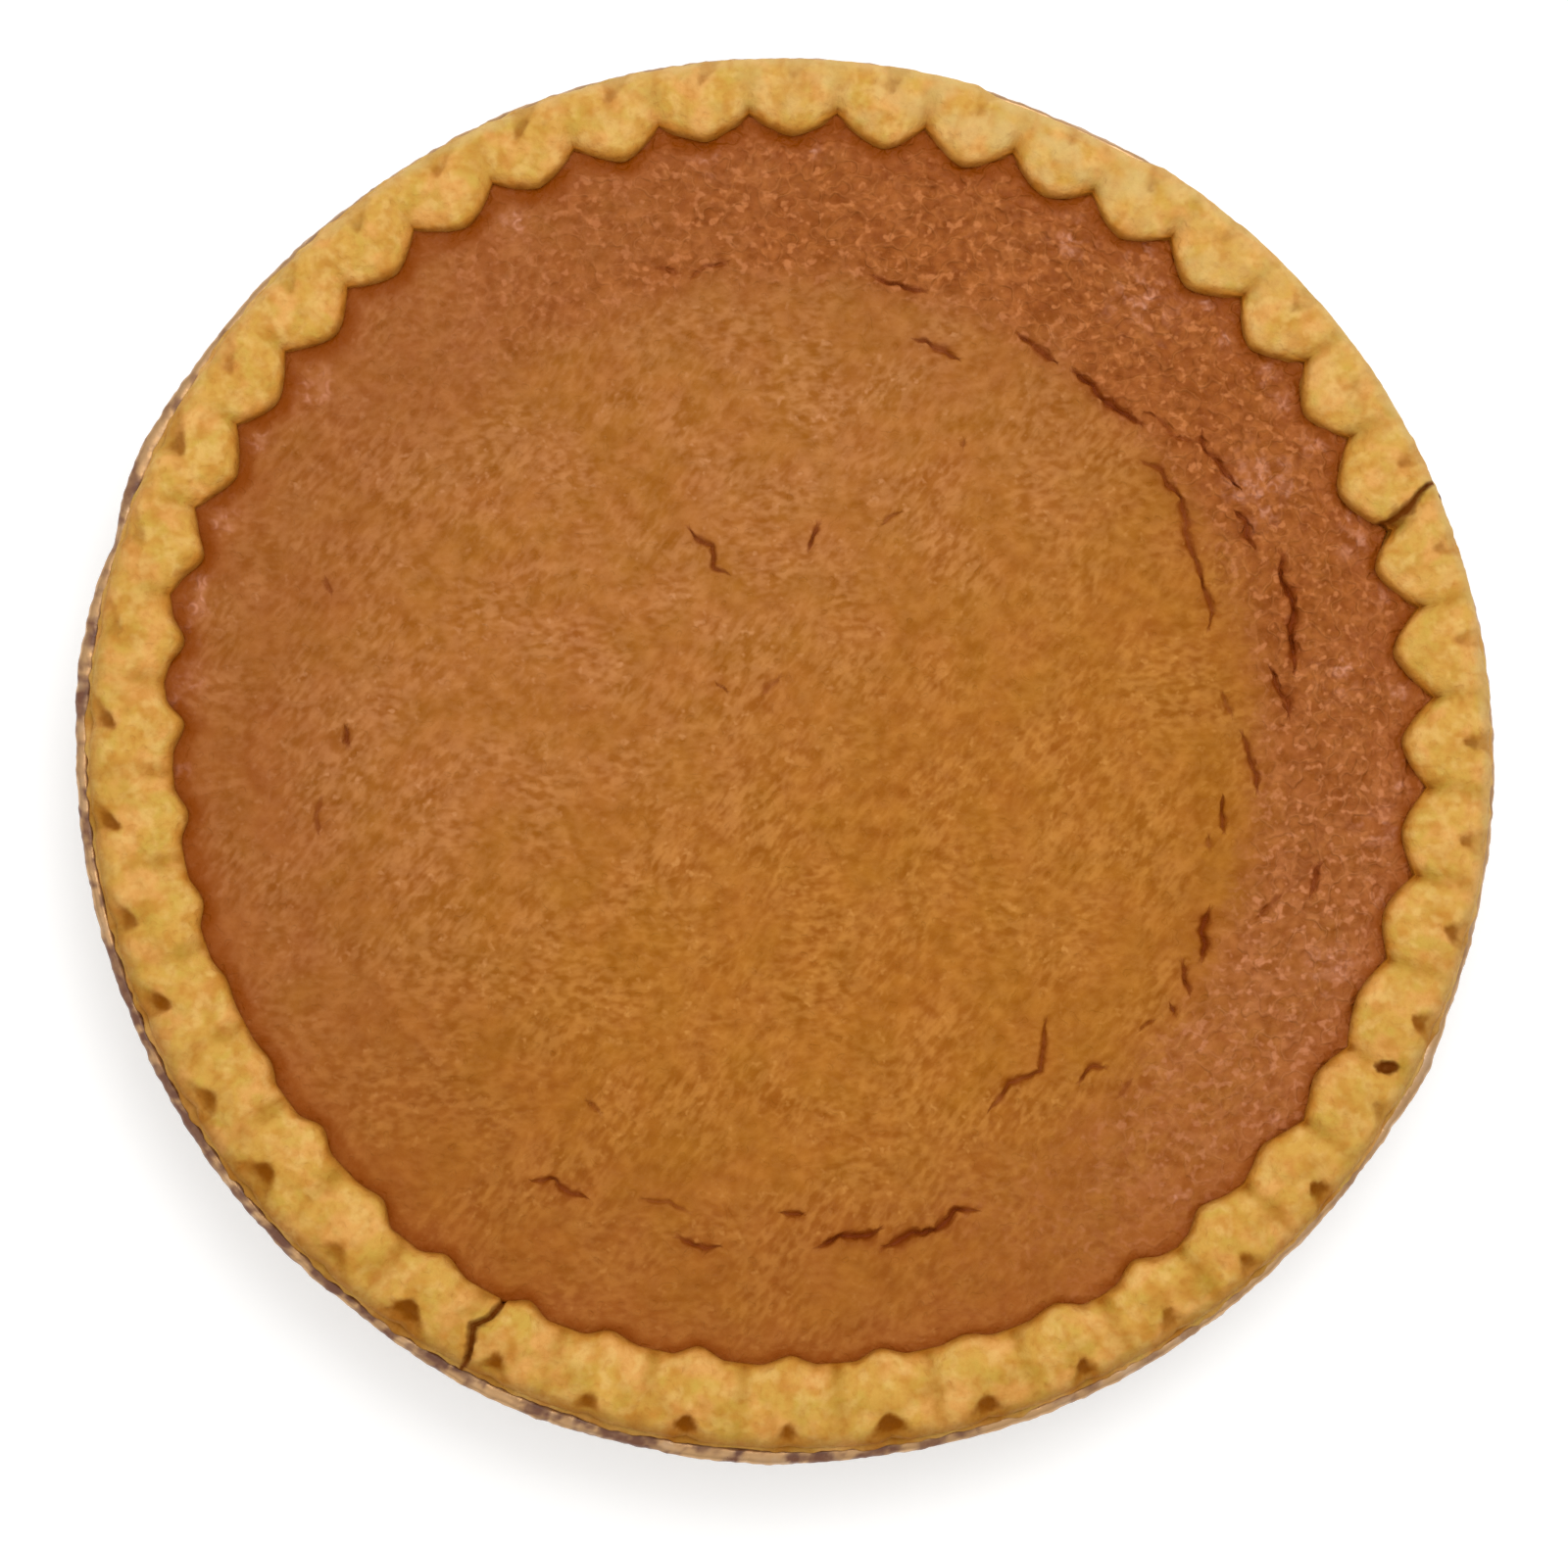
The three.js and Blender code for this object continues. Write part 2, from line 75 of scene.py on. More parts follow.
# Sizes of the baked pastry. Three numbers together are the middle size, how much it swings
# round the pie, and the angle in degrees where it is largest.
pastry = {
    "flutes": 44,
    "baseThickness": 3.7 * mm,
    "wallThickness": 5.2 * mm,
    "flangeEdge": 147.9 * mm,
    "lip": (150.6 * mm, 1.1 * mm, 50),
    "lipBottom": 30.1 * mm,
    "lipTop": 31.0 * mm,
    "lobe": (131.7 * mm, 0.5 * mm, 60),
    "cleft": (136.1 * mm, 2.4 * mm, 80),
    "leans": [  # stretches of the rim that lean out or in, at the lobes, clefts, lip or thumb marks
        {"angle": 202, "halfWidth": 34, "lobes": -1.6 * mm, "clefts": -3.4 * mm},
        {"angle": 25, "halfWidth": 36, "clefts": 1.5 * mm},
        {"angle": 102, "halfWidth": 18, "lobes": 0.5 * mm, "clefts": -0.6 * mm, "thumbs": 0.6 * mm},
        {"angle": 335, "halfWidth": 22, "lobes": 0.5 * mm, "thumbs": 1.2 * mm},
        {"angle": 272, "halfWidth": 24, "lobes": -0.5 * mm, "clefts": -1.3 * mm, "thumbs": 0.6 * mm},
        {"angle": 252, "halfWidth": 46, "lip": 0.5 * mm},
        {"angle": 66, "halfWidth": 9, "lip": -1.6 * mm},
        {"angle": 212, "halfWidth": 17, "thumbs": -1.2 * mm},
    ],
    "leanFlat": 0.6,
    "oddLobes": {3: -1.3 * mm, 30: 0.8 * mm},
    "notch": (1.8 * mm, 1.0 * mm, 240),
    "notchReach": 0.3,
    "lobeTop": 36.6 * mm,
    "cleftTop": 35.8 * mm,
    "toeHeight": 32.4 * mm,
    "footInset": 0.5 * mm,
    "foldSharpness": 1.6,  # exponent of the sharp folds' sides
    "foldRoundTowards": 240,  # on this side of the pie the folds are rounded instead
    "foldRoundStart": -0.1,
    "foldRoundFull": 0.75,
    "foldRoundReach": 0.65,
    "roundness": 2.5,
    "slowWave": 0.2 * mm,
    "slowWaves": 5,
    "quickWave": 0.14 * mm,
    "quickWaves": 31,
    "wallTurnHeight": 28.5 * mm,
    "drift": (math.radians(-0.2), math.radians(0.45), 15),
    "lobeShift": math.radians(0.28),
    "cleftShift": math.radians(0.2),
    "lobeReach": 0.7 * mm,
    "cleftReach": 0.6 * mm,
    "lobeRise": 0.45 * mm,
    "cleftRise": 0.35 * mm,
    "notchShare": 0.3,
}

foil = {
    "sheet": 0.6 * mm,
    "beadRadius": 1.6 * mm,
    "bottomRadius": 117.6 * mm,
    "cornerRadius": 119.6 * mm,
    "cornerHeight": 1.0 * mm,
    "wallTopRadius": 142.0 * mm,
    "wallTopHeight": 27.2 * mm,
    "flangeRadius": 143.1 * mm,
    "pleats": 96,
    "pleatDepth": 1.1 * mm,
    "dents": 0.35 * mm,
    "crinkle": 0.3 * mm,
    "bulges": [  # where the bead was bent out or in: angle, half width in degrees and how far
        (156, 6, 1.4 * mm), (163.6, 2.2, -1.2 * mm), (174, 6, 0.9 * mm), (332, 4, 1.1 * mm),
        (126, 9, -0.5 * mm), (205, 9, -0.4 * mm), (233, 4, -0.4 * mm), (247, 9, 0.8 * mm),
        (266, 8, 0.8 * mm), (312, 12, -0.3 * mm), (20, 9, -0.5 * mm), (48, 6, -0.4 * mm),
        (67, 8, -0.8 * mm),
    ],
    "pleatDrift": [(1.7, 5, 0.4), (0.9, 13, 0), (0.5, 29, 2)],  # how much, waves round the tin, start
    "pleatSharpness": 1.6,
    "bottomRings": (60, 100),  # radius in millimetres of the rings pressed into the bottom
    "bottomRingRise": 0.25 * mm,
    "blotchTowards": 222,
    "blotchMost": (208, 24),
    "creaseShade": 0.9,
    "columns": 1056,
}
foil["outerRadius"] = tinHigh.x
foil["flangeHeight"] = tinHigh.z - foil["beadRadius"]

gap = 0.35 * mm
flutePitch = 2 * math.pi / pastry["flutes"]


def facing(angle, towards):  # 1 at that many degrees round the pie, -1 on the other side
    return np.cos(angle - math.radians(towards))


def swing(sizes, angle):
    middle, amount, towards = sizes
    return middle + amount * facing(angle, towards)


def unevenness(index, kind):  # a repeatable number from -1 to 1
    wave = np.sin(index * 12.9898 + kind * 78.233) * 43758.5453
    return 2 * (wave - np.floor(wave)) - 1


def mix(start, end, share):
    return start + (end - start) * share


def smoothStep(start, end, value):
    share = np.clip((value - start) / (end - start), 0, 1)
    return share * share * (3 - 2 * share)


def bump(distance, width):  # 1 at the middle, soft at both sides
    return np.exp(-((distance / width) ** 2))


def apartFrom(angle, middle):  # degrees round the pie from one angle to another, -180 to 180
    return np.mod(angle - middle + 180, 360) - 180


def near(angle, towards, halfWidth):  # 1 at that many degrees round the pie, 0 well away from it
    return bump(apartFrom(np.degrees(angle), towards), halfWidth)


def leanOf(edge, angle):
    total = 0
    for lean in pastry["leans"]:
        away = np.abs(apartFrom(np.degrees(angle), lean["angle"])) / lean["halfWidth"]
        total = total + lean.get(edge, 0) * (1 - smoothStep(pastry["leanFlat"], 1, away))
    return total


def lobeAt(index):
    flute = index % pastry["flutes"]
    angle = index * flutePitch
    reach = swing(pastry["lobe"], angle) + leanOf("lobes", angle)
    for odd, extra in pastry["oddLobes"].items():
        reach = reach + np.where(flute == odd, extra, 0)
    return {
        "angle": angle + swing(pastry["drift"], angle) + pastry["lobeShift"] * unevenness(flute, 1),
        "inner": reach + pastry["lobeReach"] * unevenness(flute, 2),
        "top": pastry["lobeTop"] + pastry["lobeRise"] * unevenness(flute, 3),
        "notch": swing(pastry["notch"], angle) * (1 + pastry["notchShare"] * unevenness(flute, 4)),
    }


def cleftAt(index):
    flute = index % pastry["flutes"]
    angle = (index + 0.5) * flutePitch
    reach = swing(pastry["cleft"], angle) + leanOf("clefts", angle)
    return {
        "angle": angle + swing(pastry["drift"], angle) + pastry["cleftShift"] * unevenness(flute, 5),
        "inner": reach + pastry["cleftReach"] * unevenness(flute, 6),
        "top": pastry["cleftTop"] + pastry["cleftRise"] * unevenness(flute, 7),
    }


def foldRun(share, angle):  # how far a fold has run from its lobe, 0, to its cleft, 1
    towards = facing(angle, pastry["foldRoundTowards"])
    rounded = smoothStep(pastry["foldRoundStart"], pastry["foldRoundFull"], towards)
    turned = smoothStep(0, pastry["foldRoundReach"], share)
    return mix(share ** pastry["foldSharpness"], turned, rounded)


def rimAt(turn):  # the rim's plan and height at each turn, counted in flutes
    index = np.floor(turn)
    phase = turn - index
    lobe = lobeAt(np.where(phase < 0.5, index, index + 1))
    cleft = cleftAt(index)
    share = 1 - np.abs(1 - 2 * phase)
    angle = mix(lobe["angle"], cleft["angle"], share)
    notch = lobe["notch"] * np.maximum(0, 1 - share / pastry["notchReach"])
    lip = swing(pastry["lip"], angle) + leanOf("lip", angle)
    return {
        "angle": angle,
        "share": share,
        "lobeAngle": lobe["angle"],
        "cleftAngle": cleft["angle"],
        "inner": mix(lobe["inner"], cleft["inner"], foldRun(share, angle)),
        "lip": lip,
        "outer": lip - pastry["footInset"] - notch,
        "top": mix(lobe["top"], cleft["top"], smoothStep(0, 1, share)),
    }


def rimSection(rim, step):  # step 0 is the outer foot and pi is the inner toe
    across, up = math.cos(step), math.sin(step)
    power = 2 / pastry["roundness"]
    middle = (rim["inner"] + rim["outer"]) / 2
    half = (rim["outer"] - rim["inner"]) / 2
    radius = middle + half * math.copysign(abs(across) ** power, across)
    foot = mix(pastry["lipTop"], pastry["toeHeight"], (1 - across) / 2)
    waves = pastry["slowWave"] * np.sin(pastry["slowWaves"] * rim["angle"])
    waves = waves + pastry["quickWave"] * np.sin(pastry["quickWaves"] * rim["angle"] + 3 * step)
    height = foot + (rim["top"] - foot) * abs(up) ** power + up * waves
    return radius, height


def evenSteps(count):  # steps round the section that are evenly spaced along its arc
    typical = {"angle": 0, "inner": 133 * mm, "outer": 149 * mm, "top": 36.3 * mm}
    fine = np.linspace(0, math.pi, 2000)
    line = np.array([rimSection(typical, step) for step in fine])
    lengths = np.hypot(*np.diff(line, axis=0).T)
    along = np.concatenate([[0], np.cumsum(lengths)])
    return np.interp(np.linspace(0, along[-1], count), along, fine)


# Tools that turn arrays of points into meshes

def makePiece(name, points, faces, values, material, node):
    mesh = bpy.data.meshes.new(name)
    mesh.from_pydata(points.tolist(), [], faces)
    mesh.validate()
    mesh.polygons.foreach_set("use_smooth", [True] * len(mesh.polygons))
    for label, numbers in values.items():
        attribute = mesh.attributes.new(label, "FLOAT", "POINT")
        attribute.data.foreach_set("value", np.asarray(numbers, np.float32))
    mesh.materials.append(material)
    mesh.update()
    piece = bpy.data.objects.new(name, mesh)
    bpy.context.scene.collection.objects.link(piece)
    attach(piece, "root")
    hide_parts(node)
    return piece


def ringFaces(rows, columns):  # quads between rings that are stored one after the other
    row, column = np.meshgrid(np.arange(rows - 1), np.arange(columns), indexing="ij")
    here = row * columns + column
    beside = row * columns + (column + 1) % columns
    quads = np.stack([here, beside, beside + columns, here + columns], -1)
    return quads.reshape(-1, 4).tolist()


def levelPoints(places):  # points of a plan, at height 0
    return np.concatenate([places, np.zeros((len(places), 1))], -1)


def capFaces(start, columns, centre, upwards):
    order = np.arange(columns)
    after = (order + 1) % columns
    first, second = (order, after) if upwards else (after, order)
    return np.stack([start + first, start + second, np.full(columns, centre)], -1).tolist()


def closedRings(rings, bottomHeight, topHeight):  # rings: rows of columns of points
    rows, columns = rings.shape[:2]
    points = np.concatenate([rings.reshape(-1, 3), [[0, 0, bottomHeight], [0, 0, topHeight]]])
    last = rows * columns
    faces = ringFaces(rows, columns)
    faces += capFaces(0, columns, last, False)
    faces += capFaces(last - columns, columns, last + 1, True)
    return points, faces


def polarPoints(angle, radius, height):
    angle, radius, height = np.broadcast_arrays(angle, radius, height)
    return np.stack([radius * np.cos(angle), radius * np.sin(angle), height], -1)


def gridNormals(grid):  # outward normals of a grid of points that closes on itself sideways
    along = np.roll(grid, -1, axis=1) - np.roll(grid, 1, axis=1)
    across = np.gradient(grid, axis=0)
    normals = np.cross(along, across)
    return normals / np.maximum(np.linalg.norm(normals, axis=-1, keepdims=True), 1e-12)


def lumps(points, size, octaves):  # smooth noise from about -1 to 1, with lumps of that size
    flat = (points.reshape(-1, 3) / size).tolist()
    heights = [noise.fractal(Vector(point), 1.0, 2.0, octaves) for point in flat]
    return np.array(heights).reshape(points.shape[:-1])


def pits(points, size, share):  # round hollows, 1 at the middle, in a share of the cells
    found = []
    pitRadius = 0.32
    for point in (points.reshape(-1, 3) / size).tolist():
        distances, centres = noise.voronoi(Vector(point))
        chosen = 0.5 + 0.5 * noise.cell(centres[0] * 7.3) < share
        found.append(max(0, 1 - (distances[0] / pitRadius) ** 2) if chosen else 0)
    return np.array(found).reshape(points.shape[:-1])


# Material tools
white, black = (1, 1, 1, 1), (0, 0, 0, 1)


def shade(red, green, blue):  # a colour as seen on a screen, 0 to 255
    scaled = np.array([red, green, blue]) / 255
    linear = np.where(scaled < 0.04045, scaled / 12.92, ((scaled + 0.055) / 1.055) ** 2.4)
    return (*linear.tolist(), 1)


def wire(tree, source, socket):
    if isinstance(source, bpy.types.NodeSocket):
        tree.links.new(source, socket)
    else:
        socket.default_value = source


def mixColour(tree, factor, first, second, blend="MIX"):
    node = tree.nodes.new("ShaderNodeMix")
    node.data_type = "RGBA"
    node.blend_type = blend
    wire(tree, factor, node.inputs[0])
    wire(tree, first, node.inputs[6])
    wire(tree, second, node.inputs[7])
    return node.outputs[2]


def tinted(tree, factor, colour, tint):  # darkens a colour by a tint
    return mixColour(tree, factor, colour, tint, "MULTIPLY")


def maths(tree, operation, first, second=0.0, clamp=False):
    node = tree.nodes.new("ShaderNodeMath")
    node.operation = operation
    node.use_clamp = clamp
    wire(tree, first, node.inputs[0])
    wire(tree, second, node.inputs[1])
    return node.outputs[0]


def times(tree, first, second):
    return maths(tree, "MULTIPLY", first, second)


def plus(tree, first, second):
    return maths(tree, "ADD", first, second)


def remap(tree, value, fromLow, fromHigh, toLow=0.0, toHigh=1.0):
    node = tree.nodes.new("ShaderNodeMapRange")
    node.interpolation_type = "SMOOTHSTEP"
    for source, socket in zip((value, fromLow, fromHigh, toLow, toHigh),
                              ("Value", "From Min", "From Max", "To Min", "To Max")):
        wire(tree, source, node.inputs[socket])
    return node.outputs["Result"]


def whereOn(tree, space="Object"):
    return tree.nodes.new("ShaderNodeTexCoord").outputs[space]


def noiseAt(tree, where, scale, detail, rough):
    node = tree.nodes.new("ShaderNodeTexNoise")
    wire(tree, where, node.inputs["Vector"])
    wire(tree, scale, node.inputs["Scale"])
    node.inputs["Detail"].default_value = detail
    node.inputs["Roughness"].default_value = rough
    return node.outputs["Fac"]


def grainOf(tree, scale, detail=2.0, rough=0.5):
    return noiseAt(tree, whereOn(tree), scale, detail, rough)


def noiseMask(tree, size, low, high, toLow=0.0, toHigh=1.0, detail=2.0):
    return remap(tree, grainOf(tree, 1 / size, detail), low, high, toLow, toHigh)


def valueOf(tree, label):  # a value stored on the mesh
    node = tree.nodes.new("ShaderNodeAttribute")
    node.attribute_name = label
    return node.outputs["Fac"]


def socketKind(start):
    return "NodeSocketColor" if isinstance(start, tuple) else "NodeSocketFloat"


def newGroup(name, inputs, output):  # inputs: each label with its starting value
    tree = bpy.data.node_groups.new(name, "ShaderNodeTree")
    for label, start in inputs.items():
        socket = tree.interface.new_socket(label, in_out="INPUT", socket_type=socketKind(start))
        socket.default_value = start
    kind = socketKind(inputs.get(output, 0))  # a group that takes a colour gives one back
    tree.interface.new_socket(output, in_out="OUTPUT", socket_type=kind)
    given = tree.nodes.new("NodeGroupInput").outputs
    return tree, given, tree.nodes.new("NodeGroupOutput").inputs[output]


def place(tree, group, **values):  # puts a group into a material; returns its output
    node = tree.nodes.new("ShaderNodeGroup")
    node.node_tree = group
    for label, value in values.items():
        wire(tree, value, node.inputs[label])
    return node.outputs[0]


def makeMottle():  # patches of a second colour at one scale
    tree, given, made = newGroup(
        "bakedMottle",
        {"Colour": white, "Tint": black, "Scale": 100, "Low": 0.5, "High": 0.6, "Amount": 1}, "Colour")
    patch = remap(tree, grainOf(tree, given["Scale"], 1.6), given["Low"], given["High"])
    share = times(tree, patch, given["Amount"])
    wire(tree, mixColour(tree, share, given["Colour"], given["Tint"]), made)
    return tree


def makeSoftGrain():  # a gentle drift between a lighter and a darker colour
    tree, given, made = newGroup(
        "softGrain",
        {"Colour": white, "Light": white, "Dark": black, "Scale": 100, "Amount": 0.5}, "Colour")
    drift = remap(tree, grainOf(tree, given["Scale"], 1.0), 0.2, 0.8)
    tone = mixColour(tree, drift, given["Dark"], given["Light"])
    wire(tree, mixColour(tree, given["Amount"], given["Colour"], tone), made)
    return tree


def makeBrokenMask():  # roughens the soft edge of a mask
    tree, given, made = newGroup("brokenMask", {"Mask": 0, "Scale": 100, "Amount": 0.5}, "Mask")
    swingAbout = maths(tree, "SUBTRACT", grainOf(tree, given["Scale"], 3.0, 0.6), 0.5)
    shift = times(tree, swingAbout, given["Amount"])
    inside = remap(tree, given["Mask"], 0.0, 0.35)  # nothing is added where the mask is empty
    wire(tree, maths(tree, "ADD", given["Mask"], times(tree, shift, inside), True), made)
    return tree


def makeBakedRelief():  # fine grain and small pits, as a height
    tree, given, made = newGroup(
        "bakedRelief", {"Grain Scale": 500, "Pit Scale": 300, "Pits": 0.5}, "Height")
    grain = grainOf(tree, given["Grain Scale"], 2.0, 0.6)
    hollow = remap(tree, grainOf(tree, given["Pit Scale"], 0.0), 0.64, 0.78)
    wire(tree, maths(tree, "SUBTRACT", grain, times(tree, hollow, given["Pits"])), made)
    return tree


def makeStreaks():  # grain drawn out along one direction, as a mask
    tree, given, made = newGroup("streakMask", {"Scale": 500, "Length": 2, "Turn": 1}, "Mask")
    where = whereOn(tree)
    sizes = tree.nodes.new("ShaderNodeCombineXYZ")
    for axis, size in (("X", given["Length"]), ("Y", 1), ("Z", 1)):
        wire(tree, size, sizes.inputs[axis])
    turns = tree.nodes.new("ShaderNodeCombineXYZ")
    wire(tree, given["Turn"], turns.inputs["Z"])
    drawn = tree.nodes.new("ShaderNodeMapping")
    drawn.vector_type = "TEXTURE"
    wire(tree, where, drawn.inputs["Vector"])
    wire(tree, turns.outputs["Vector"], drawn.inputs["Rotation"])
    wire(tree, sizes.outputs["Vector"], drawn.inputs["Scale"])
    grain = noiseAt(tree, drawn.outputs["Vector"], given["Scale"], 1.0, 0.5)
    wire(tree, remap(tree, grain, 0.3, 0.7), made)
    return tree


def makeCrinkle():  # thin wandering ridges, as a mask
    tree, given, made = newGroup("crinkleMask", {"Scale": 300}, "Mask")
    level = maths(tree, "SUBTRACT", grainOf(tree, given["Scale"], 1.5), 0.5)
    wire(tree, remap(tree, maths(tree, "ABSOLUTE", level), 0.0, 0.1, 1.0, 0.0), made)
    return tree


def makeFoam():  # rings of small burst bubbles, as a mask
    tree, given, made = newGroup("foamMask", {"Scale": 500}, "Mask")
    ringRadius = 0.42
    where = whereOn(tree)
    cells = tree.nodes.new("ShaderNodeTexVoronoi")
    wire(tree, where, cells.inputs["Vector"])
    wire(tree, given["Scale"], cells.inputs["Scale"])
    fromRing = maths(tree, "SUBTRACT", cells.outputs["Distance"], ringRadius)
    fromRing = maths(tree, "ABSOLUTE", fromRing)
    wire(tree, remap(tree, fromRing, 0.03, 0.22, 1.0, 0.0), made)
    return tree


mottle = makeMottle()
softGrain = makeSoftGrain()
brokenMask = makeBrokenMask()
bakedRelief = makeBakedRelief()
streaks = makeStreaks()
crinkle = makeCrinkle()
foam = makeFoam()


def patches(tree, colour, tint, size, low, high, amount):
    return place(tree, mottle, Colour=colour, Tint=tint, Scale=1 / size, Low=low, High=high,
                 Amount=amount)


def drifting(tree, colour, light, dark, size, amount):
    return place(tree, softGrain, Colour=colour, Light=light, Dark=dark, Scale=1 / size,
                 Amount=amount)


def broken(tree, label, size, amount):  # a value stored on the mesh, with its edge roughened
    return place(tree, brokenMask, Mask=valueOf(tree, label), Scale=1 / size, Amount=amount)


def reliefOf(tree, grain, pit=2 * mm, pits=0.0):
    return place(tree, bakedRelief,
                 **{"Grain Scale": 1 / grain, "Pit Scale": 1 / pit, "Pits": pits})


def newMaterial(name):
    material = bpy.data.materials.new(name)
    material.use_nodes = True
    tree = material.node_tree
    return material, tree, tree.nodes["Principled BSDF"].inputs


def bumpFrom(tree, height, strength, distance, socket):
    node = tree.nodes.new("ShaderNodeBump")
    node.inputs["Strength"].default_value = strength
    node.inputs["Distance"].default_value = distance
    wire(tree, height, node.inputs["Height"])
    wire(tree, node.outputs["Normal"], socket)


pastryLook = {
    "golden": shade(209, 160, 74),
    "peach": shade(222, 163, 90),
    "greenish": shade(196, 162, 68),
    "blond": shade(228, 186, 110),
    # the colour of a painted highlight
    "pale": shade(212, 180, 116),
    "toasted": shade(188, 120, 40),
    "brown": shade(130, 71, 0),
    "dark": shade(104, 50, 0),
    "foldTint": (0.72, 0.66, 0.44, 1),  # painted shade in the folds and thumb marks; darkens what lies under it
    "patches": [  # colour, size, where in the noise a patch begins and is full, and how strong it is
        ("peach", 9 * mm, 0.44, 0.6, 0.9),
        ("greenish", 6 * mm, 0.44, 0.66, 0.6),
        ("toasted", 5 * mm, 0.46, 0.7, 0.5),
        ("blond", 3.5 * mm, 0.46, 0.68, 0.5),
        ("toasted", 1.6 * mm, 0.42, 0.72, 0.3),
    ],
    "marks": [  # value stored on the mesh, colour, blend, and how broken the mark's edge is
        # in order: a painted highlight; real toasting with painted shade; painted fold shade; real browning
        # with painted shade; dark splits and thumb tips that are partly painted shade
        ("pale", "pale", "MIX", 6 * mm, 0.8),
        ("toasted", "toasted", "MIX", 3 * mm, 0.6),
        ("folded", "foldTint", "MULTIPLY", 3.5 * mm, 0.7),
        ("browned", "brown", "MIX", 2 * mm, 0.5),
        ("darkened", "dark", "MIX", 1.5 * mm, 0.4),
    ],
    "specular": 0.06,
}


def makeBakedPastry(look):
    material, tree, shader = newMaterial("bakedPastry")
    colour = look["golden"]
    for tint, *sizes in look["patches"]:
        colour = patches(tree, colour, look[tint], *sizes)
    for label, tint, blend, *sizes in look["marks"]:
        colour = mixColour(tree, broken(tree, label, *sizes), colour, look[tint], blend)
    wire(tree, colour, shader["Base Color"])
    wire(tree, noiseMask(tree, 2 * mm, 0.3, 0.7, toLow=0.58, toHigh=0.8), shader["Roughness"])
    shader["Specular IOR Level"].default_value = look["specular"]
    height = reliefOf(tree, grain=0.9 * mm, pit=1.6 * mm, pits=0.3)
    bumpFrom(tree, height, 0.65, 0.45 * mm, shader["Normal"])
    return material


custardLook = {
    "middle": shade(163, 97, 24),
    "light": shade(190, 128, 62),
    "dark": shade(136, 70, 6),
    "rosy": shade(174, 97, 44),
    "olive": shade(158, 98, 12),
    "glint": shade(206, 144, 96),
    "pinkish": shade(194, 122, 74),
    "russet": shade(124, 58, 10),
    "outerTint": (0.87, 0.84, 0.8, 1),  # these tints darken what lies under them
    "goldenTint": (1.0, 0.99, 0.55, 1),
    "puckerTint": (0.88, 0.76, 0.5, 1),
    # painted shade on the sides of the cracks
    "crackShadeTint": (0.76, 0.58, 0.42, 1),
    "rose": shade(150, 74, 36),
    # a painted highlight on the blisters
    "blisterHighlight": shade(208, 136, 100),
    # painted highlight and painted shade of the crinkles, also used for patches
    "ridgeHighlight": shade(216, 146, 104),
    "hollow": shade(132, 66, 14),
    # the dark band beside the crust: painted shadow over a darker baked edge
    "edge": shade(134, 62, 0),
    "crack": shade(120, 48, 6),
    "specular": 0.06,
    "coatRoughness": 0.25,
}


